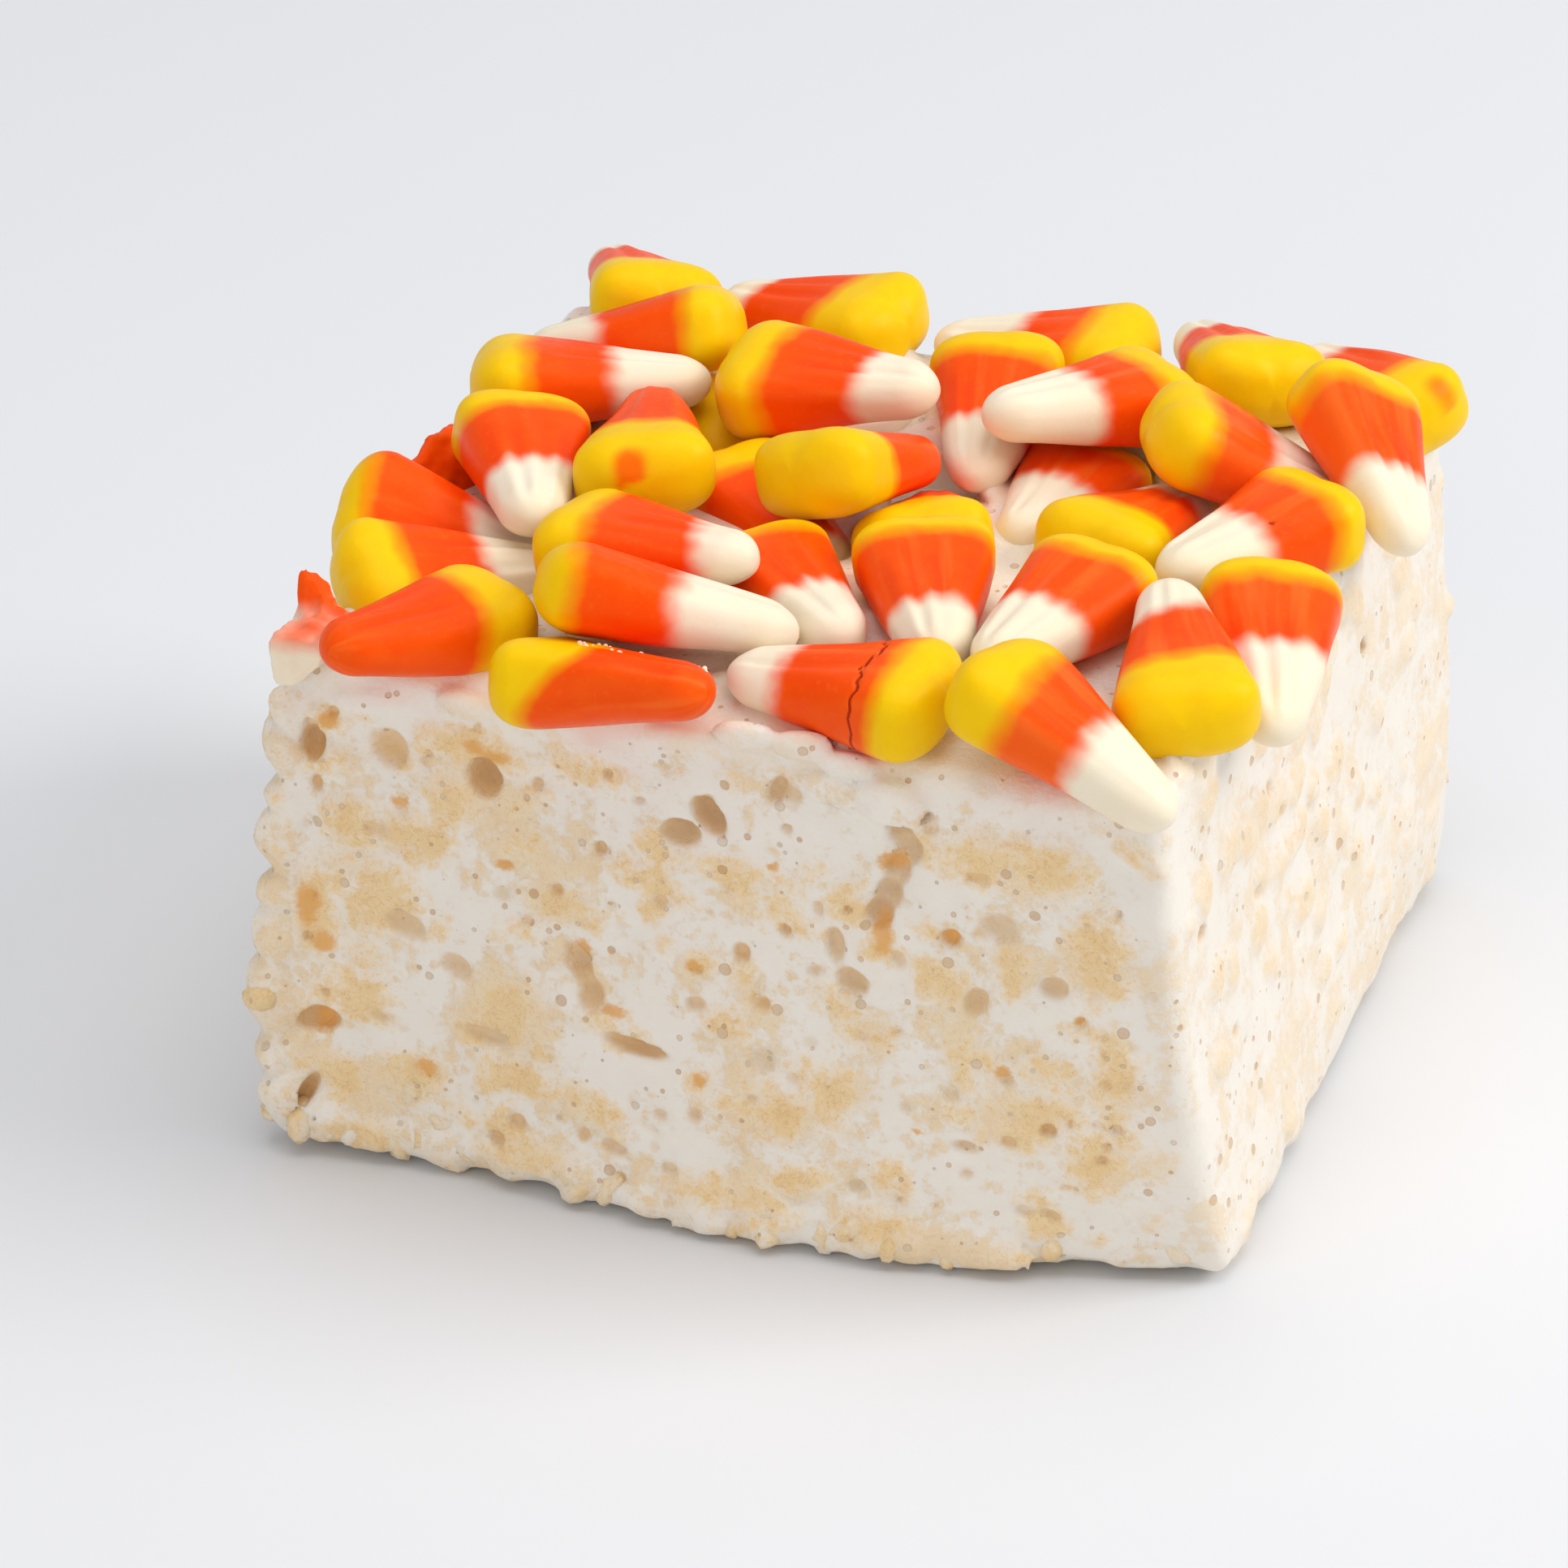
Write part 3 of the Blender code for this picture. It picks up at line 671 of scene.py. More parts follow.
def strewCrumbs():
    points, faces, spread = [], [], []
    for number in sorted({spot[0] for spot in scatterSet["crumbSpots"]}):
        found = laid[number]
        mesh = bpy.data.objects[f"candyCorn{number:02d}"].data
        at = readPoints(mesh)
        local = (at / mm - found["origin"]) @ found["turn"]
        along = local[:, 0] / found["length"] + cornSet["wideEnd"]
        across = local[:, 1] / cornSet["halfWidth"]
        near = np.zeros(len(at))
        for candy, side, run, half in scatterSet["crumbSpots"]:
            if candy == number:
                reach = ((across - side) / (2.2 * half)) ** 2 + ((along - run) / half) ** 2
                near = np.maximum(near, np.exp(-reach) * (local[:, 2] > -0.5))
        faces += [[k + len(spread) for k in face.vertices] for face in mesh.polygons]
        points += at.tolist()
        spread += np.where(near > 0.3, near, 0).tolist()
    bed = newMesh("crumbBed", points, faces, sugar)
    writeAttribute(bed.data, "spread", np.array(spread))
    crumbs = strew(bed, "sugarCrumbs", scatterSet["crumbs"], sugar)
    count = len(crumbs.data.vertices)
    writeAttribute(crumbs.data, "cornPlace", np.tile((2.0, 0.0, 0.0), (count, 1)))
    writeAttribute(crumbs.data, "cornBands", np.tile((-1.0, 0.5, 0.0), (count, 1)))
    finishPiece(crumbs, None)
    print(f"sugar crumbs: {count} points")


scatter = scatterTree("strewnBits")
strewCrumbs()

# The block, as its solid is cut: skewed corners by (x, y), a front foot that bows forward, swollen sides.
blockSet = {
    "width": 80.0,
    "depth": 72.6,
    "height": 45.2,
    "edge": 2.0,
    "topSkew": ((1.3, 2.5), (-2.9, -1.6), (-0.4, 0.0), (0.7, -1.0)),
    "footSkew": ((-0.8, -1.8), (2.4, 1.5), (-0.8, 0.2), (0.6, 1.1)),
    "flare": 1.6,
    "bow": 4.6,
    "bowStart": 0.2,
    "swellLeft": 1.7,
    "swellRight": 1.6,
    "swellPower": 0.7,
    "rise": 1.5,
    "riseRun": 4.0,
    "cell": 0.45,
    "quickCell": 0.9,
    "margin": 5.0,
    "mostTriangles": 190000,
    # how far the marshmallow lies below the face, and how far grains may stand out of it
    "sunk": {"front": 0.10, "right": 0.22, "left": 0.20, "back": 0.35, "top": 0.35, "foot": 0.9},
    "proud": {"front": 0.10, "right": 0.20, "left": 1.25, "back": 0.85, "top": 0.35, "foot": 0.0},
    "tornSunk": 0.15,
    "tornProud": 0.9,
    "footLift": 2.5,
    "footRun": 4.5,
    "pressRim": 1.6,
    "waves": ((9.3, 0.28, 11), (3.7, 0.16, 12), (1.7, 0.07, 13)),
    "meniscus": 2.4,
    "candyCore": 1.0,
    "farAway": 9.0,
}
grainSet = {
    "pitch": (4.7, 4.4, 3.7),
    "jitter": 1.5,
    "kept": 0.62,
    "long": (2.2, 3.6),
    "round": (1.15, 1.75),
    "depth": 4.5,
    "tilt": 35.0,
    "seed": 5,
}
# What the cut front shows, placed by (x, z) with half width and half height. Pores add how deep they are,
# how they lean and how toasted they are; lumps how far they stand out and how they lean.
frontSet = {
    "pores": (
        (-21.2, 37.1, 1.5, 1.9, 1.9, 10, 0.9), (-36.4, 37.6, 1.1, 1.6, 1.5, 0, 0.8),
        (-29.6, 38.2, 1.7, 1.9, 1.2, 20, 0.6), (-4, 35.5, 1.8, 1.2, 1.6, 0, 0.4),
        (-1.6, 37.4, 1.2, 2, 1.9, 40, 0.6), (4.4, 40.9, 0.8, 1.5, 1.2, -25, 0.5),
        (-24.1, 19.3, 1.5, 1.1, 1, -30, 0.3), (-13.1, 22, 1.1, 2.2, 1.4, 25, 0.5),
        (-12, 19.4, 1.3, 1.6, 1.3, 0, 0.6), (-8, 15.6, 3.1, 0.75, 1.4, -8, 0.6),
        (-21.6, 13.5, 2.4, 0.75, 1.1, -6, 0.1), (-36.2, 12.5, 2, 1.2, 1.3, 10, 0.7),
        (-37.4, 5.8, 0.7, 2.2, 1.2, -30, 0.8), (23.2, 31.9, 1.9, 1.4, 1.2, 0, 0.1),
        (19.1, 30.2, 1.05, 0.95, 1.2, 0, 0.8), (27.8, 27.3, 1.3, 1.05, 1.2, 0, 0.35),
        (9.4, 28, 0.75, 1.7, 1.1, 6, 0.2), (10.8, 25, 1.5, 1.1, 1.2, -30, 0.3),
        (3.4, 16.6, 1.3, 1.2, 0.8, 0, 0), (1.3, 25.7, 0.85, 1, 1, 0, 0.7),
        (5.1, 28.5, 0.6, 0.6, 0.8, 0, 0.7), (3.2, 21.5, 0.8, 0.7, 0.9, 0, 0.7),
        (21.3, 24.9, 1, 1.5, 1.1, -25, 0.4), (30.1, 24.6, 0.65, 0.65, 0.7, 0, 0.1),
        (20.7, 11.7, 1.3, 0.5, 0.9, -8, 0.2), (25.5, 6.4, 0.9, 0.6, 0.8, 0, 0.4),
        (-6.7, 8.8, 1.5, 0.3, 0.6, -20, 0.1), (-16.5, 37.5, 0.6, 0.55, 0.9, 0, 0.9),
        (-36.2, 33.9, 0.5, 0.9, 0.9, 0, 0.8), (5.2, 37.6, 0.6, 0.5, 0.7, 0, 0.4),
        (-14.9, 28.2, 0.6, 0.6, 0.9, 0, 0.9), (17, 41, 0.9, 0.5, 0.7, 0, 0.5),
        (33.3, 35.3, 0.4, 0.4, 0.5, 0, 0.5), (-28.5, 22.3, 1.9, 1.2, 1, -20, 0.2),
        (24, 18.3, 0.6, 0.6, 0.8, 0, 0.6), (7.9, 31.2, 0.5, 0.5, 0.6, 0, 0.5),
        (27.7, 6.2, 1.2, 0.45, 0.9, -30, 0.5), (-30.6, 13.5, 1.1, 0.5, 0.6, -10, 0.1),
        (-5.8, 29, 0.8, 0.75, 0.7, 0, 0.2), (14.8, 27.6, 0.6, 1, 0.8, 20, 0.4),
        (-26.5, 37.6, 0.4, 0.4, 0.6, 0, 0.6), (19.3, 16.4, 0.8, 0.8, 0.7, 0, 0),
    ),
    "crevice": ((14.9, 39.4), (15.6, 37.6), (14.6, 35.6), (13.9, 33.4), (13.2, 31.6)),
    "creviceSize": (1.15, 1.5, 0.1),
    "lumps": (
        (-22.4, 43.6, 2.7, 1.25, 1, -8), (9.4, 41.9, 3, 1.5, 1.1, -6), (14.4, 41.7, 3.3, 2.2, 1.7, -12),
        (1.9, 45.4, 3, 1.3, 0.9, 0), (6.4, 45.3, 2.6, 1.2, 0.9, 0), (-3.4, 44, 3.4, 1, 0.5, 4),
        (10.2, 44.4, 2.6, 1, 0.8, 0), (-12, 41.8, 3.4, 0.8, 0.4, -3), (-31, 42.2, 3.4, 1.3, 0.8, 5),
    ),
    "edgeLumps": (
        (-39, 40.2, 1.6, 1.5, 2, 0), (-39.4, 36.4, 1.7, 2.3, 2, 5), (-39.6, 32.2, 1.5, 1.2, 1.8, 8),
        (-39.8, 28.2, 2.1, 2.8, 2.2, -4), (-40.3, 23.2, 1.7, 1.5, 2, 0), (-40.3, 19.4, 2.1, 2.5, 2.3, 4),
        (-40.8, 13.8, 2.2, 3.4, 2.5, 0), (-40.5, 8.6, 1.8, 1.8, 2.2, 0), (-39.4, 5.2, 2.6, 2.4, 2.4, 20),
        (-35.6, 3.6, 2.8, 1.8, 1.6, 0), (-31.2, 2.8, 1.8, 1.2, 1.3, 0), (-25.5, 2.7, 3.4, 1.6, 1.2, 4),
        (-18.6, 2.2, 1.7, 1.1, 1.3, 0), (-12.6, 2.2, 2.6, 1.5, 1.2, -6), (-6.4, 1.9, 1.6, 1, 1.3, 0),
        (-2, 2, 2, 1.4, 1.2, 0), (3.5, 1.8, 2.8, 1.2, 1.1, 10), (11, 1.8, 2.6, 1.2, 1.1, 0),
        (16, 1.9, 1.5, 1.1, 1, 0), (20.8, 2, 2.8, 1.2, 0.9, 0),
    ),
    "patches": (
        (-30.6, 24.4, 3.4, 3.2, 10), (-32.9, 15, 3.4, 2.4, 0), (-19.5, 16, 3.4, 2.9, 20),
        (-18.2, 10.4, 3.3, 1.6, -15), (5, 12, 2.6, 2.1, 0), (25.4, 13.6, 2.4, 1.9, 15),
        (-14.6, 26.8, 3, 1.5, 0), (-27.2, 30.5, 3.2, 2.2, 0), (-6.2, 34.2, 1.6, 1.6, 0),
        (-6.6, 30.6, 3.2, 1.3, -25), (0.4, 32.8, 2.9, 1.2, 0), (5, 30.6, 1.3, 2.4, 0),
        (10.6, 31.6, 2.3, 1.6, 0), (18.3, 26.2, 2.3, 2, -20), (24.6, 28.6, 1.6, 2.6, 0),
        (11.2, 20.6, 1.6, 0.7, 20), (13.6, 20.2, 0.9, 1.4, 0), (9, 15.6, 2.9, 1.2, -15),
        (20.3, 18.6, 0.8, 3.2, 18), (27.5, 19.5, 2.3, 1.3, -10), (26, 15.4, 2.6, 1.9, 10),
        (-24, 34.5, 2.6, 2.2, 0), (-33.5, 31, 2.4, 2.4, 0), (-22, 39.6, 4.2, 1.3, -8),
        (-11.4, 39.6, 3.6, 1.1, -4), (-34.8, 40, 1.8, 1.2, 0), (27, 38.2, 4, 2.4, 0),
        (21.4, 37.4, 2.8, 1.9, 0), (31.5, 30.5, 2.6, 4.4, 0), (-36.2, 22, 2, 4.2, 0),
        (-11.8, 9.6, 2.7, 1.5, -10), (-28, 8.6, 3, 2, 0), (-34, 7.4, 2.6, 1.8, -20),
        (6.6, 6.6, 2.7, 1.2, 8), (14.5, 8.2, 1.6, 1.6, 0), (27.2, 5.4, 1.9, 1.6, 0),
        (-2, 13.6, 1.2, 1.1, 0), (-16.6, 3.6, 4.4, 1.3, 0), (0.5, 4.4, 4.4, 1.2, 0),
        (-33, 2.6, 4.4, 1.6, 0), (13.5, 3.4, 3.4, 1.6, 0), (31.2, 11.4, 2.4, 3, 0), (-2.4, 24, 1.4, 1.4, 0),
        (33, 20.5, 1.8, 3.2, 0),
    ),
    "toasted": (
        (13.4, 29.6, 1.1, 2.2), (14.2, 36.2, 1.5, 1.2), (-34.9, 39.9, 1.2, 0.9), (-22, 39.9, 1.3, 0.7),
        (-20.1, 39.2, 1.6, 0.7), (-37, 23, 1.3, 2.2), (-35.7, 19.8, 1.2, 1.2), (-28.9, 33.6, 1, 1),
        (-19.6, 29.5, 1, 0.6), (-26.8, 9.6, 1.1, 1.1), (-2, 13.8, 0.9, 0.9), (-2.7, 23.9, 0.9, 0.8),
        (-9.8, 18.4, 1.4, 0.7), (-35.9, 12.3, 1.2, 1.3), (19.1, 30.2, 0.8, 0.8), (23.6, 19, 0.8, 0.7),
        (4, 34, 0.7, 0.6), (16.7, 12.5, 0.6, 0.4), (-12.6, 23.4, 0.9, 1), (29.9, 24.6, 0.5, 0.5),
    ),
}
poreSet = {
    "count": {"front": 130, "right": 40, "left": 60, "back": 80},
    "radius": (0.35, 0.85),
    "seed": 21,
}
patchSet = {"count": 90, "long": (0.8, 2.6), "short": (0.5, 1.5), "seed": 17}
blockLook = {
    "white": ((0.845, 0.77, 0.665), (0.885, 0.835, 0.755)),
    "tan": ((0.84, 0.54, 0.20), (0.92, 0.72, 0.42)),
    "fibre": (0.72, 0.40, 0.12),
    "speck": (0.55, 0.31, 0.12),
    "wallShadeAndToast": ((0.76, 0.60, 0.42), (0.74, 0.42, 0.15)),
    "deep": (0.50, 0.25, 0.08),
    "pinBubbles": ((0.0024, 0.22), (0.0013, 0.20)),  # cell and largest radius
    "pinShade": ((0.72, 0.58, 0.42), (0.60, 0.34, 0.14)),
    "toasted": (0.80, 0.40, 0.10),
    "orangeBounce": (0.90, 0.42, 0.27),
    "wetAbove": (0.0415, 0.0440),
    "keyLitRight": (0.0335, 0.0375, 1.0, 0.6),  # painted light: the right side, washed out by the key light, is given less tan
    "bump": (0.6, 0.0003),
}


def cornDistance(found, x, y, z):
    # at places in millimetres: rough distance to a candy, share of its length, and how far a place
    # is beside its outline and over its middle
    turn = found["turn"]
    dx, dy, dz = (value - middle for value, middle in zip((x, y, z), found["origin"]))
    u, v, w = (dx * turn[0, k] + dy * turn[1, k] + dz * turn[2, k] for k in range(3))
    along = u / found["length"] + cornSet["wideEnd"]
    inside = np.clip(along, 0.03, 0.97)
    rounding = cornRounding(inside)
    halfWidth, halfThickness = (half * rounding for half in cornHalves(inside))
    power = 2.5
    radius = ((np.abs(v) / halfWidth) ** power + (np.abs(w) / halfThickness) ** power) ** (1 / power)
    side = (radius - 1) * np.minimum(halfWidth, halfThickness)
    past = np.abs(along - inside) * found["length"]
    distance = np.where(past > 0, np.sqrt(np.maximum(side, 0) ** 2 + past ** 2), side)
    beside = np.sqrt(np.maximum(np.abs(v) - halfWidth, 0) ** 2 + past ** 2)
    return distance, along, beside, w


def cornerBlend(corners, axis, across, back):
    frontLeft, frontRight, backLeft, backRight = (corner[axis] for corner in corners)
    front = frontLeft * (1 - across) + frontRight * across
    return front * (1 - back) + (backLeft * (1 - across) + backRight * across) * back


def leanOffsets(across, back, up):
    # how far the askew cuts and the bowed foot move a place of the plain block
    foot = (1 - up) ** blockSet["flare"]
    moves = []
    for axis in (0, 1):
        top, low = (cornerBlend(blockSet[key], axis, across, back) for key in ("topSkew", "footSkew"))
        moves.append(top * (1 - foot) + low * foot)
    past = np.maximum(0, across - blockSet["bowStart"]) / (1 - blockSet["bowStart"])
    bow = blockSet["bow"] * np.sin(np.pi * past) * (1 - back) ** 2 * (1 - up) ** 2
    return moves[0], moves[1] - bow


def frontY(x, z):
    _, shift = leanOffsets(x / blockSet["width"] + 0.5, 0.0, min(max(z / blockSet["height"], 0), 1))
    return float(-blockSet["depth"] / 2 + shift)


def onFront(x, z, inset=0.0):
    return np.array([x, frontY(x, z) + inset, z])


def plainBlock(x, y, z):
    # distance to the smooth block, and how far inside each of its sides a place is
    width, depth, height, edge = (blockSet[key] for key in ("width", "depth", "height", "edge"))
    across = np.clip(x / width + 0.5, 0, 1)
    back = np.clip(y / depth + 0.5, 0, 1)
    up = np.clip(z / height, 0, 1)
    shiftX, shiftY = leanOffsets(across, back, up)
    wave = np.sin(np.pi * up ** blockSet["swellPower"])
    nearRight = np.clip(2 * across - 1, 0, 1) ** 3
    nearLeft = np.clip(1 - 2 * across, 0, 1) ** 3
    shiftX = shiftX + (blockSet["swellRight"] * nearRight * back - blockSet["swellLeft"] * nearLeft) * wave
    rim = np.minimum(np.minimum(across, 1 - across), np.minimum(back, 1 - back))
    rise = blockSet["rise"] * np.minimum(1, blockSet["riseRun"] * rim ** blockSet["swellPower"]) * up ** 4
    px, py, pz = x - shiftX, y - shiftY, z - rise
    qx = np.abs(px) - (width / 2 - edge)
    qy = np.abs(py) - (depth / 2 - edge)
    qz = np.abs(pz - height / 2) - (height / 2 - edge)
    outside = np.sqrt(np.maximum(qx, 0) ** 2 + np.maximum(qy, 0) ** 2 + np.maximum(qz, 0) ** 2)
    distance = outside + np.minimum(np.maximum(np.maximum(qx, qy), qz), 0) - edge
    inside = {"right": width / 2 - px, "left": width / 2 + px, "back": depth / 2 - py,
              "front": depth / 2 + py, "top": height - pz, "foot": pz + 0 * px}
    return distance, inside


def fade(depth, run, most=9.0):
    return np.exp(-np.clip(depth, 0, most) / run)


def blendSides(inside, table):
    total = 0.0
    weights = 0.0
    for side, depth in inside.items():
        weight = np.exp(-np.clip(depth, -1, 12) / 1.2)
        total = total + weight * table[side]
        weights = weights + weight
    return total / weights


def window(axes, middle, reach):
    # index ranges and open grids around a place
    cut = []
    for axis, value in zip(axes, middle):
        low, high = (max(int(np.searchsorted(axis, value + way)), 0) for way in (-reach, reach))
        cut.append(slice(low, high))
    return tuple(cut), [alongAxis(axis[part], k) for k, (axis, part) in enumerate(zip(axes, cut))]


def stampBalls(field, axes, balls, tone=None):
    # lowers the field to the distance from each ellipsoid: (middle, half sizes, turn, shade of its wall)
    for middle, halves, turn, *shade in balls:
        cut, (x, y, z) = window(axes, middle, max(halves) + 1.6)
        if min(part.stop - part.start for part in cut) <= 0:
            continue
        dx, dy, dz = x - middle[0], y - middle[1], z - middle[2]
        total = 0.0
        for k in range(3):
            total = total + ((dx * turn[0, k] + dy * turn[1, k] + dz * turn[2, k]) / halves[k]) ** 2
        distance = (np.sqrt(total) - 1) * min(halves)
        if tone is not None:
            tone[cut][distance < np.minimum(field[cut], 0.8)] = shade[0]
        np.minimum(field[cut], distance, out=field[cut])
    return field


def leanTurn(degrees):
    # turn about Y, for a form that lies in the front face
    c, s = math.cos(math.radians(degrees)), math.sin(math.radians(degrees))
    return np.array([[c, 0, -s], [0, 1, 0], [s, 0, c]])


def randomTurn(random, tilt):
    heading = Matrix.Rotation(random.uniform(0, fullTurn), 3, "Z")
    rise = Matrix.Rotation(math.radians(random.uniform(-tilt, tilt)), 3, "Y")
    spin = Matrix.Rotation(random.uniform(0, fullTurn), 3, "X")
    return np.array(heading @ rise @ spin)


def scatterGrains():
    # puffed grains near the block's faces, on a jittered grid with some left out
    random = np.random.default_rng(grainSet["seed"])
    half = np.array([blockSet["width"] / 2 + 3, blockSet["depth"] / 2 + 6, blockSet["height"] / 2 + 2])
    middle = np.array([0, -1.5, blockSet["height"] / 2])
    balls = []
    counts = [int(2 * h / p) for h, p in zip(half, grainSet["pitch"])]
    spots = np.stack(np.meshgrid(*[np.arange(c) for c in counts], indexing="ij"), axis=-1).reshape(-1, 3)
    spots = (spots + 0.5) * grainSet["pitch"] - half + middle
    spots = spots + random.uniform(-grainSet["jitter"], grainSet["jitter"], spots.shape)
    distance, inside = plainBlock(spots[:, 0], spots[:, 1], spots[:, 2])
    keep = (distance > -grainSet["depth"]) & (distance < 1.0) & (random.random(len(spots)) < grainSet["kept"])
    for spot, kept, atFront in zip(spots, keep, inside["front"] < 3.4):
        halves = tuple(random.uniform(*grainSet[key]) for key in ("long", "round", "round"))
        turn = randomTurn(random, grainSet["tilt"])
        if kept and not atFront:
            balls.append((spot, halves, turn))
    for x, z, halfWidth, halfHeight, lean in frontSet["patches"]:
        balls.append((onFront(x, z, random.uniform(0.2, 0.6)), (halfWidth, 1.6, halfHeight), leanTurn(lean)))
    random = np.random.default_rng(patchSet["seed"])
    for _ in range(patchSet["count"]):
        x = random.uniform(-0.48, 0.48) * blockSet["width"]
        z = random.uniform(1.0, blockSet["height"] - 4)
        middle = onFront(x, z, random.uniform(0.3, 1.0))
        halves = (random.uniform(*patchSet["long"]), 1.3, random.uniform(*patchSet["short"]))
        balls.append((middle, halves, leanTurn(random.uniform(-60, 60))))
    return balls


def scatterPores():
    random = np.random.default_rng(poreSet["seed"])
    balls = []
    for side, count in poreSet["count"].items():
        for _ in range(count):
            radius = random.uniform(*poreSet["radius"]) * random.uniform(0.6, 1.0)
            z = random.uniform(2.5, blockSet["height"] - 3)
            share = random.uniform(-0.93, 0.93)
            if side in ("front", "back"):
                x = share * blockSet["width"] / 2
                y = frontY(x, z) if side == "front" else blockSet["depth"] / 2 - 0.3
            else:
                y = share * blockSet["depth"] / 2
                x = (1 if side == "right" else -1) * (blockSet["width"] / 2 - 0.3)
                distance, _ = plainBlock(np.array([x]), np.array([y]), np.array([z]))
                x = x - math.copysign(float(distance[0]), x)
            halves = (radius * random.uniform(0.8, 1.4), radius, radius * random.uniform(0.8, 1.2))
            balls.append((np.array([x, y, z]), halves, randomTurn(random, 20), random.random()))
    for x, z, halfWidth, halfHeight, depth, lean, shade in frontSet["pores"]:
        balls.append((onFront(x, z), (halfWidth, depth, halfHeight), leanTurn(lean), shade))
    half, deep, shade = frontSet["creviceSize"]
    for x, z in frontSet["crevice"]:
        balls.append((onFront(x, z), (half, deep, 1.5), leanTurn(-10), shade))
    return balls


def frontLumps(key, inset):
    return [(onFront(x, z, inset), (halfWidth, out, halfHeight), leanTurn(lean))
            for x, z, halfWidth, halfHeight, out, lean in frontSet[key]]


def surfaceOf(field, axes):
    # one point in each cell that the surface passes through, joined by quads across the crossed edges
    inside = field < 0
    shape = [n - 1 for n in field.shape]
    count = np.zeros(shape, np.int8)
    for corner in cellCorners:
        count += inside[tuple(slice(step, size + step) for step, size in zip(corner, shape))]
    cells = np.argwhere((count > 0) & (count < 8))
    index = np.full(shape, -1, np.int64)
    index[tuple(cells.T)] = np.arange(len(cells))
    place = np.zeros((len(cells), 3), np.float32)
    total = np.zeros((len(cells), 1), np.float32)
    faces = []
    for axis in range(3):
        others = [k for k in range(3) if k != axis]
        for steps in itertools.product((0, 1), repeat=2):
            offset = np.zeros(3, int)
            offset[others] = steps
            low = cells + offset
            high = low + np.eye(3, dtype=int)[axis]
            first, second = field[tuple(low.T)], field[tuple(high.T)]
            crossed = (first < 0) != (second < 0)
            spot = np.repeat(offset[None, :].astype(np.float32), len(cells), axis=0)
            spot[:, axis] = np.where(crossed, first / np.where(crossed, first - second, 1), 0)
            place += spot * crossed[:, None]
            total += crossed[:, None]
        low = [slice(1, None)] * 3
        high = list(low)
        low[axis] = slice(0, -1)
        first, second = inside[tuple(low)], inside[tuple(high)]
        edges = np.argwhere(first != second)
        outward = first[tuple(edges.T)]
        ring = []
        for steps in ((-1, -1), (0, -1), (0, 0), (-1, 0)):
            near = edges.copy()
            near[:, others] += np.array(steps) + 1
            ring.append(index[tuple(np.minimum(near, np.array(shape) - 1).T)])
        quads = np.stack(ring, axis=-1)
        flip = outward if axis != 1 else ~outward
        faces.append(np.where(flip[:, None], quads, quads[:, ::-1]))
    place = cells + place / total
    points = [np.interp(place[:, k], np.arange(len(axes[k])), axes[k]) for k in range(3)]
    return np.stack(points, axis=-1), np.concatenate(faces)


def shapeBlock():
    cell = blockSet["cell"]
    low, high = [np.array(corner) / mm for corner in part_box("treat_block")]
    margin = blockSet["margin"]
    axes = [np.arange(a - margin, b + margin, cell).astype(np.float32) for a, b in zip(low, high)]
    x, y, z = [alongAxis(axis, k) for k, axis in enumerate(axes)]
    plain, inside = plainBlock(x, y, z)
    for size, height, seed in blockSet["waves"]:
        plain = plain + height * latticeNoise(axes, size, seed)

    def far():
        return np.full(plain.shape, blockSet["farAway"], np.float32)

    grains = stampBalls(far(), axes, scatterGrains()) + 0.25 * latticeNoise(axes, 1.3, 31)
    # the left and low edges of the front are torn rather than cut
    torn = np.maximum(fade(inside["left"], 3.5, 40), fade(inside["foot"], 2.2, 40))
    torn = fade(inside["front"], 2.5) * torn
    sunk = blendSides(inside, blockSet["sunk"]) + blockSet["tornSunk"] * torn
    proud = blendSides(inside, blockSet["proud"]) + blockSet["tornProud"] * torn
    body = smoothMin(plain + sunk, grains, 0.7)
    body = np.maximum(body, plain - proud)
    # the foot's rim is worn round and lifts off the floor between its grains
    rim = np.minimum(np.minimum(inside["left"], inside["right"]), np.minimum(inside["front"], inside["back"]))
    worn = np.clip(1 - rim / blockSet["footRun"], 0, 1.2) ** 2
    ragged = np.maximum(0, 0.6 + 0.8 * latticeNoise(axes, 3.3, 41) + 0.5 * latticeNoise(axes, 1.6, 42))
    body = np.maximum(body, smoothMin(blockSet["footLift"] * worn * ragged - z, 0 * body + 9, 0.3))
    tone = np.full(plain.shape, 0.5, np.float32)
    pores = stampBalls(far(), axes, scatterPores(), tone)
    body = smoothMin(body, stampBalls(far(), axes, frontLumps("lumps", 0.0)), 0.6)
    edgeLumps = stampBalls(far(), axes, frontLumps("edgeLumps", 0.8))
    body = smoothMin(body, edgeLumps + 0.25 * latticeNoise(axes, 1.5, 61), 1.8)
    grains = np.minimum(grains, edgeLumps + 0.3)
    body = -smoothMin(-body, pores, 0.25)
    corns, orange = far(), far()
    for number, found in laid.items():
        centre = found["origin"] + found["turn"][:, 0] * found["length"] * (0.5 - cornSet["wideEnd"])
        cut, (wx, wy, wz) = window(axes, centre, found["length"] / 2 + 3)
        distance, along, beside, over = cornDistance(found, wx, wy, wz)
        np.minimum(corns[cut], distance, out=corns[cut])
        # the marshmallow is pressed down round a candy, to a little above its middle
        body[cut] = np.maximum(body[cut], -np.maximum(beside - blockSet["pressRim"], 0.6 - over))
        yellowEdge, whiteEdge = bands[number]
        off = np.maximum(np.maximum(yellowEdge - along, along - whiteEdge), 0) * found["length"]
        # painted reflected light: how near the candies' orange is, for an orange tint on the marshmallow
        # beside them
        np.minimum(orange[cut], np.maximum(distance, 0) + 0.8 * off, out=orange[cut])
    body = smoothMin(body, corns + blockSet["candyCore"], blockSet["meniscus"])
    body = np.maximum(body, -z + 0 * body)
    return axes, body, {"grain": grains, "pore": pores, "orangeBounce": orange, "tone": tone, "depth": -plain}


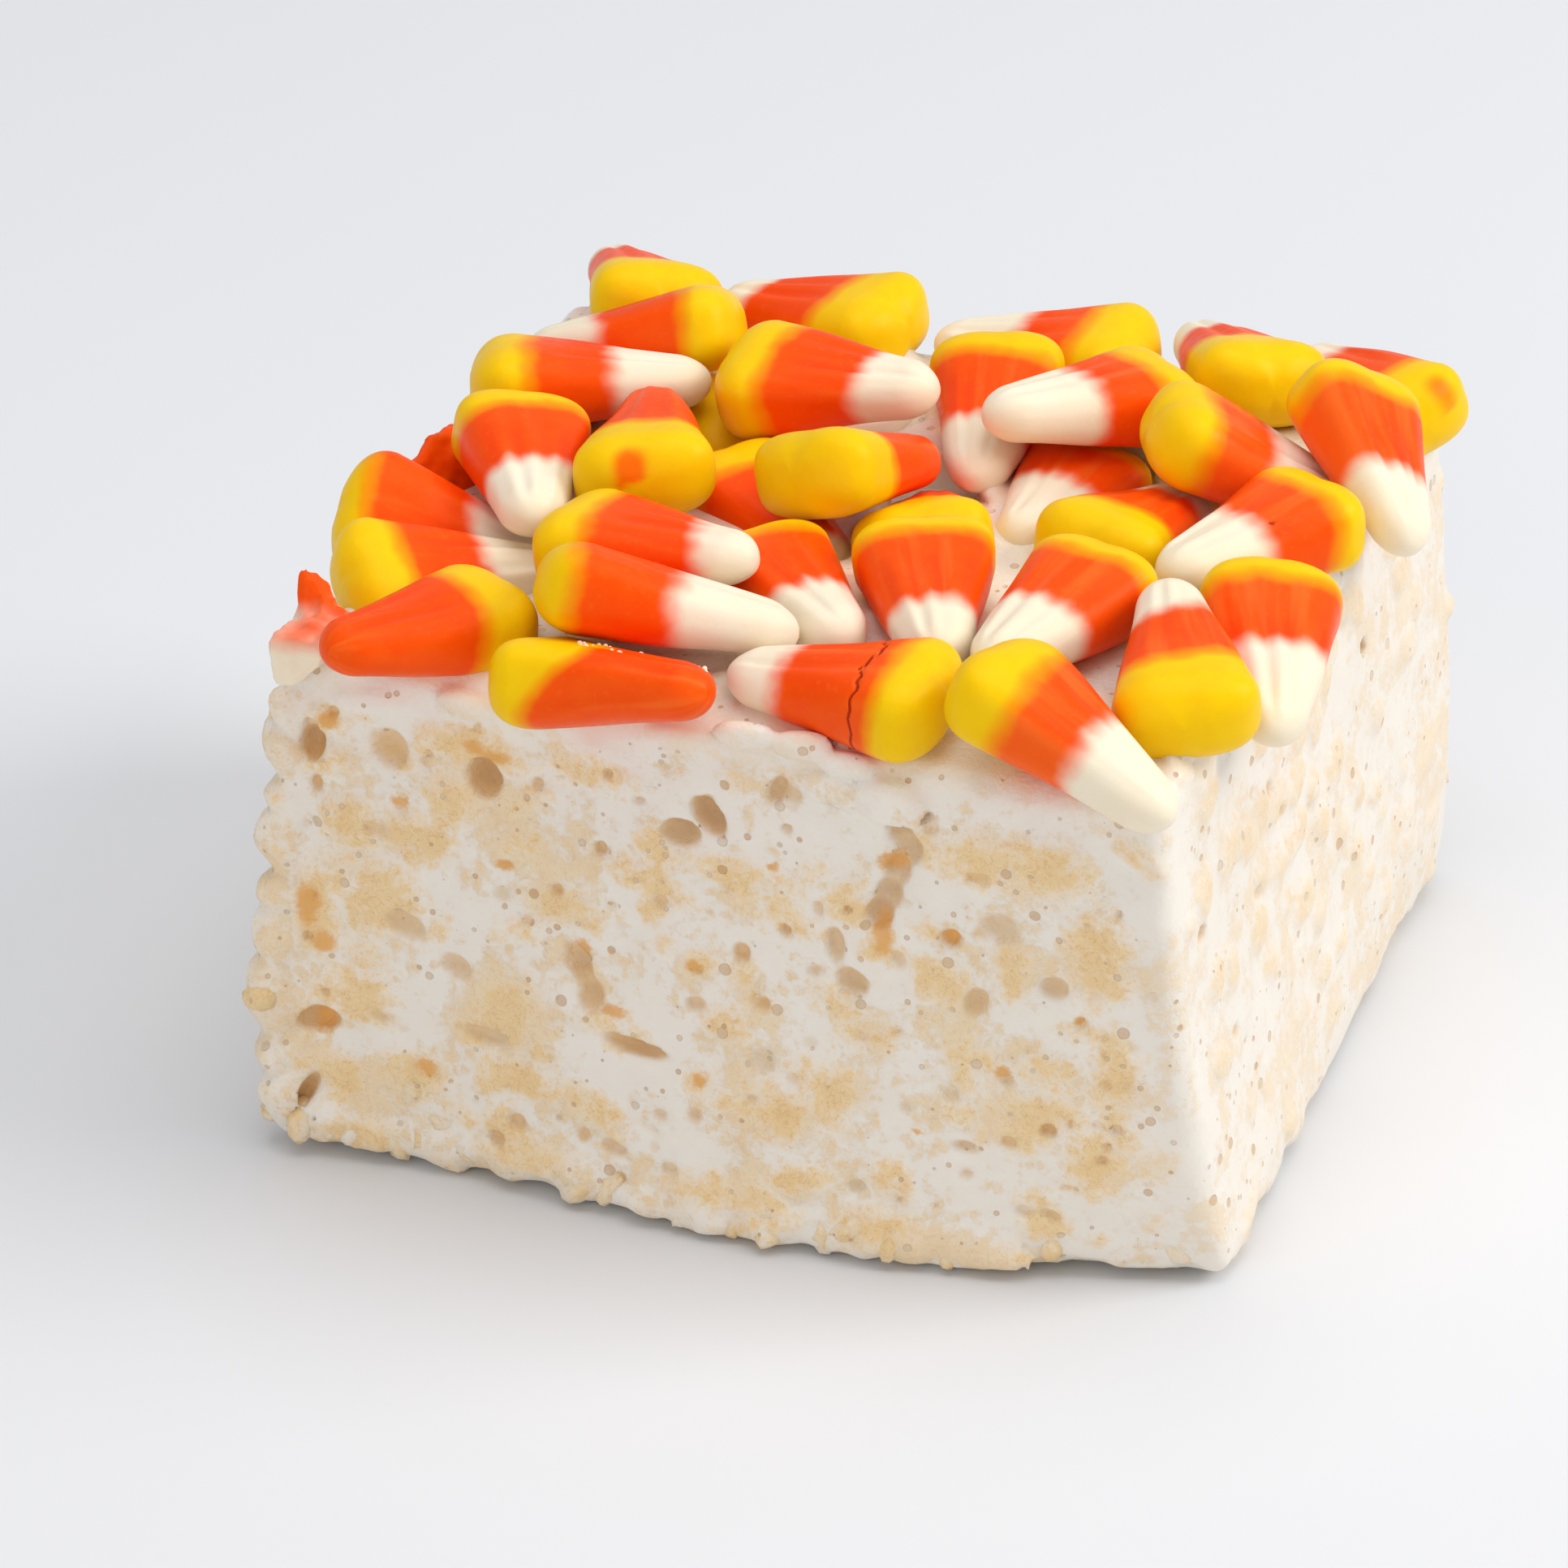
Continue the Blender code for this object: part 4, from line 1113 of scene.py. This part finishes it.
def trimLoose(thing):
    # keeps only the outer skin: bubbles and crumbs that touch nothing go
    for other in bpy.context.scene.objects:
        other.select_set(False)
    thing.select_set(True)
    bpy.context.view_layer.objects.active = thing
    bpy.ops.object.mode_set(mode="EDIT")
    bpy.ops.mesh.select_all(action="DESELECT")
    bpy.ops.object.mode_set(mode="OBJECT")
    thing.data.vertices[int(np.abs(readPoints(thing.data)).sum(axis=1).argmin())].select = True
    bpy.ops.object.mode_set(mode="EDIT")
    bpy.ops.mesh.select_mode(type="VERT")
    bpy.ops.mesh.select_linked()
    bpy.ops.mesh.select_all(action="INVERT")
    bpy.ops.mesh.delete(type="VERT")
    bpy.ops.object.mode_set(mode="OBJECT")


def marshmallowMaterial():
    made, tree, shader, place = newMaterial(
        "marshmallowAndRice", Roughness=0.5, Subsurface_Weight=0.15, Subsurface_Scale=0.0012,
        Subsurface_Radius=(1.0, 0.75, 0.5), Specular_IOR_Level=0.4
    )
    step, noise, mix, stir, times, timesAdd = toolsFor(tree)
    look = blockLook
    fields = ("grain", "pore", "orangeBounce", "toast", "tone", "depth")
    grain, pore, orangeBounce, toast, tone, depth = [attributeNode(tree, name) for name in fields]
    large = noise(place, 0.0065, 2.0, 0.5)
    soft = noise(place, 0.0028, 3.0, 0.55)
    mid = noise(place, 0.0013, 4.0, 0.6)
    fine = noise(place, 0.00042, 4.0, 0.65)
    curl = noise(place, 0.0011, 2.0, 0.5, 1.2)
    # tan where a grain is cut through, with a soft and fibrous edge
    cutGrain = step(stir(fine, 0.9, stir(mid, 3.2, grain)), 0.75, -0.65)
    blotch = timesAdd(fine, 0.12, timesAdd(mid, 0.45, times(large, 0.6)))
    mottle = times(step(blotch, 0.56, 0.68), 0.70)
    axisPlace = splitNode(tree, place)
    # painted light: less tan towards the brightly lit right side
    tanShare = times(mathNode(tree, "MAXIMUM", cutGrain, mottle), step(axisPlace["X"], *look["keyLitRight"]))
    wet = step(stir(soft, 0.004, axisPlace["Z"]), *look["wetAbove"])
    tanShare = times(tanShare, timesAdd(wet, -0.6, 1.0))
    light = mix(soft, *look["tan"])
    fibre = mathNode(tree, "ABSOLUTE", mathNode(tree, "SUBTRACT", curl, 0.5))
    tan = mix(times(step(fibre, 0.045, 0.0), 0.42), light, look["fibre"])
    tan = mix(times(step(fine, 0.41, 0.30), 0.35), tan, look["speck"])
    colour = mix(times(tanShare, 0.90), mix(soft, *look["white"]), tan)
    # the walls of the pores, from lilac grey to toasted brown, and darker than the face: painted shade in the
    # pores, with the brown from real toasting
    wallShadeAndToast = mix(times(mid, 0.5), mix(tone, *look["wallShadeAndToast"]), light)
    # painted shade: the deeper a pore, the darker and fuller its wall colour
    wallShadeAndToast = mix(step(depth, 0.8, 1.9, 0.0, 0.70), wallShadeAndToast, look["deep"])
    hollowShade = step(depth, 0.1, 1.0, 0.25, 0.95)
    colour = mix(times(step(pore, 0.22, -0.05), hollowShade), colour, wallShadeAndToast)
    height = timesAdd(mid, 0.5, times(fine, timesAdd(tanShare, 0.8, 0.2)))
    # painted shade: tiny bubble pits are coloured darker, with a dip in the bump
    for size, most in look["pinBubbles"]:
        cells = addNode(tree, "ShaderNodeTexVoronoi", {"Vector": place, "Scale": 1 / size, "Randomness": 1.0})
        chance = splitNode(tree, cells.outputs["Color"])
        radius = times(step(chance["X"], 0.45, 1.0), most)
        dot = step(mathNode(tree, "SUBTRACT", cells.outputs["Distance"], radius), 0.02, -0.03)
        colour = mix(times(dot, 0.7), colour, mix(chance["Y"], *look["pinShade"]))
        height = timesAdd(dot, -0.8, height)
    burnt = timesAdd(fine, 1.0, toast)
    colour = mix(times(step(burnt, 0.60, 1.25), 0.85), colour, look["toasted"])
    # painted reflected light: an orange tint on the marshmallow near the candies' orange
    colour = mix(times(step(orangeBounce, 1.8, 0.1), 0.36), colour, look["orangeBounce"])
    rough = timesAdd(wet, -0.22, timesAdd(tanShare, 0.20, timesAdd(mid, 0.15, 0.42)))
    wireSurface(tree, shader, colour, rough, height, *look["bump"])
    return made


def toastAt(points):
    # how near each place is to a toasted bit of the front
    best = np.full(len(points), 9.0, np.float32)
    for x, z, halfWidth, halfHeight in frontSet["toasted"]:
        away = np.sqrt(((points[:, 0] - x) / halfWidth) ** 2 + ((points[:, 2] - z) / halfHeight) ** 2)
        best = np.minimum(best, np.where(np.abs(points[:, 1] - frontY(x, z)) < 3, away, 9))
    return np.clip(1.25 - best, -1, 1)


def buildBlock():
    axes, body, fields = shapeBlock()
    points, faces = surfaceOf(body, axes)
    mesh = bpy.data.meshes.new("rawBlock")
    mesh.vertices.add(len(points))
    mesh.vertices.foreach_set("co", (points * mm).astype(np.float32).ravel())
    mesh.loops.add(len(faces) * 4)
    mesh.loops.foreach_set("vertex_index", faces.astype(np.int32).ravel())
    mesh.polygons.add(len(faces))
    mesh.polygons.foreach_set("loop_start", np.arange(0, len(faces) * 4, 4, dtype=np.int32))
    mesh.update(calc_edges=True)
    mesh.validate()
    raw = linkThing("rawBlock", mesh)
    trimLoose(raw)
    triangles = len(raw.data.polygons) * 2
    if triangles > blockSet["mostTriangles"]:
        thin = raw.modifiers.new("thin", "DECIMATE")
        thin.ratio = blockSet["mostTriangles"] / triangles
    block = plainCopy(raw, "marshmallowBlock")
    block.data.shade_smooth()
    block.data.materials.append(marshmallowMaterial())
    at = readPoints(block.data) / mm
    for name, field in fields.items():
        writeAttribute(block.data, name, sampleField(np.clip(field, -3, 3), axes, at))
    writeAttribute(block.data, "toast", toastAt(at))
    finishPiece(block, "treat_block")
    print(f"block: {triangles} triangles, thinned to {len(block.data.polygons)} faces")
    return block


def strewGrains(block):
    # loose puffed grains along the torn left and back sides and the foot
    at = readPoints(block.data) / mm
    _, inside = plainBlock(at[:, 0], at[:, 1], at[:, 2])
    low = fade(at[:, 2] - 2.0, 1.6, 40)
    sides = fade(np.minimum(inside["left"], inside["back"]), 1.2) * 0.12
    spread = np.maximum(low, sides) * (at[:, 2] > 1.4) * (at[:, 2] < 42) * (inside["right"] > 1.5)
    material = block.data.materials[0]
    bed = linkThing("grainBed", block.data.copy())
    writeAttribute(bed.data, "spread", spread)
    grains = strew(bed, "looseGrains", scatterSet["grains"], material)
    count = len(grains.data.vertices)
    patchy = pointNoise(readPoints(grains.data) / mm, 2.4, 71) * 0.9 - 0.25
    writeAttribute(grains.data, "grain", patchy)
    for name, value in (("pore", 3.0), ("orangeBounce", 3.0), ("toast", -1.0), ("tone", 0.5), ("depth", -1.0)):
        writeAttribute(grains.data, name, np.full(count, value))
    finishPiece(grains, None)
    print(f"loose grains: {count} points")


strewGrains(buildBlock())
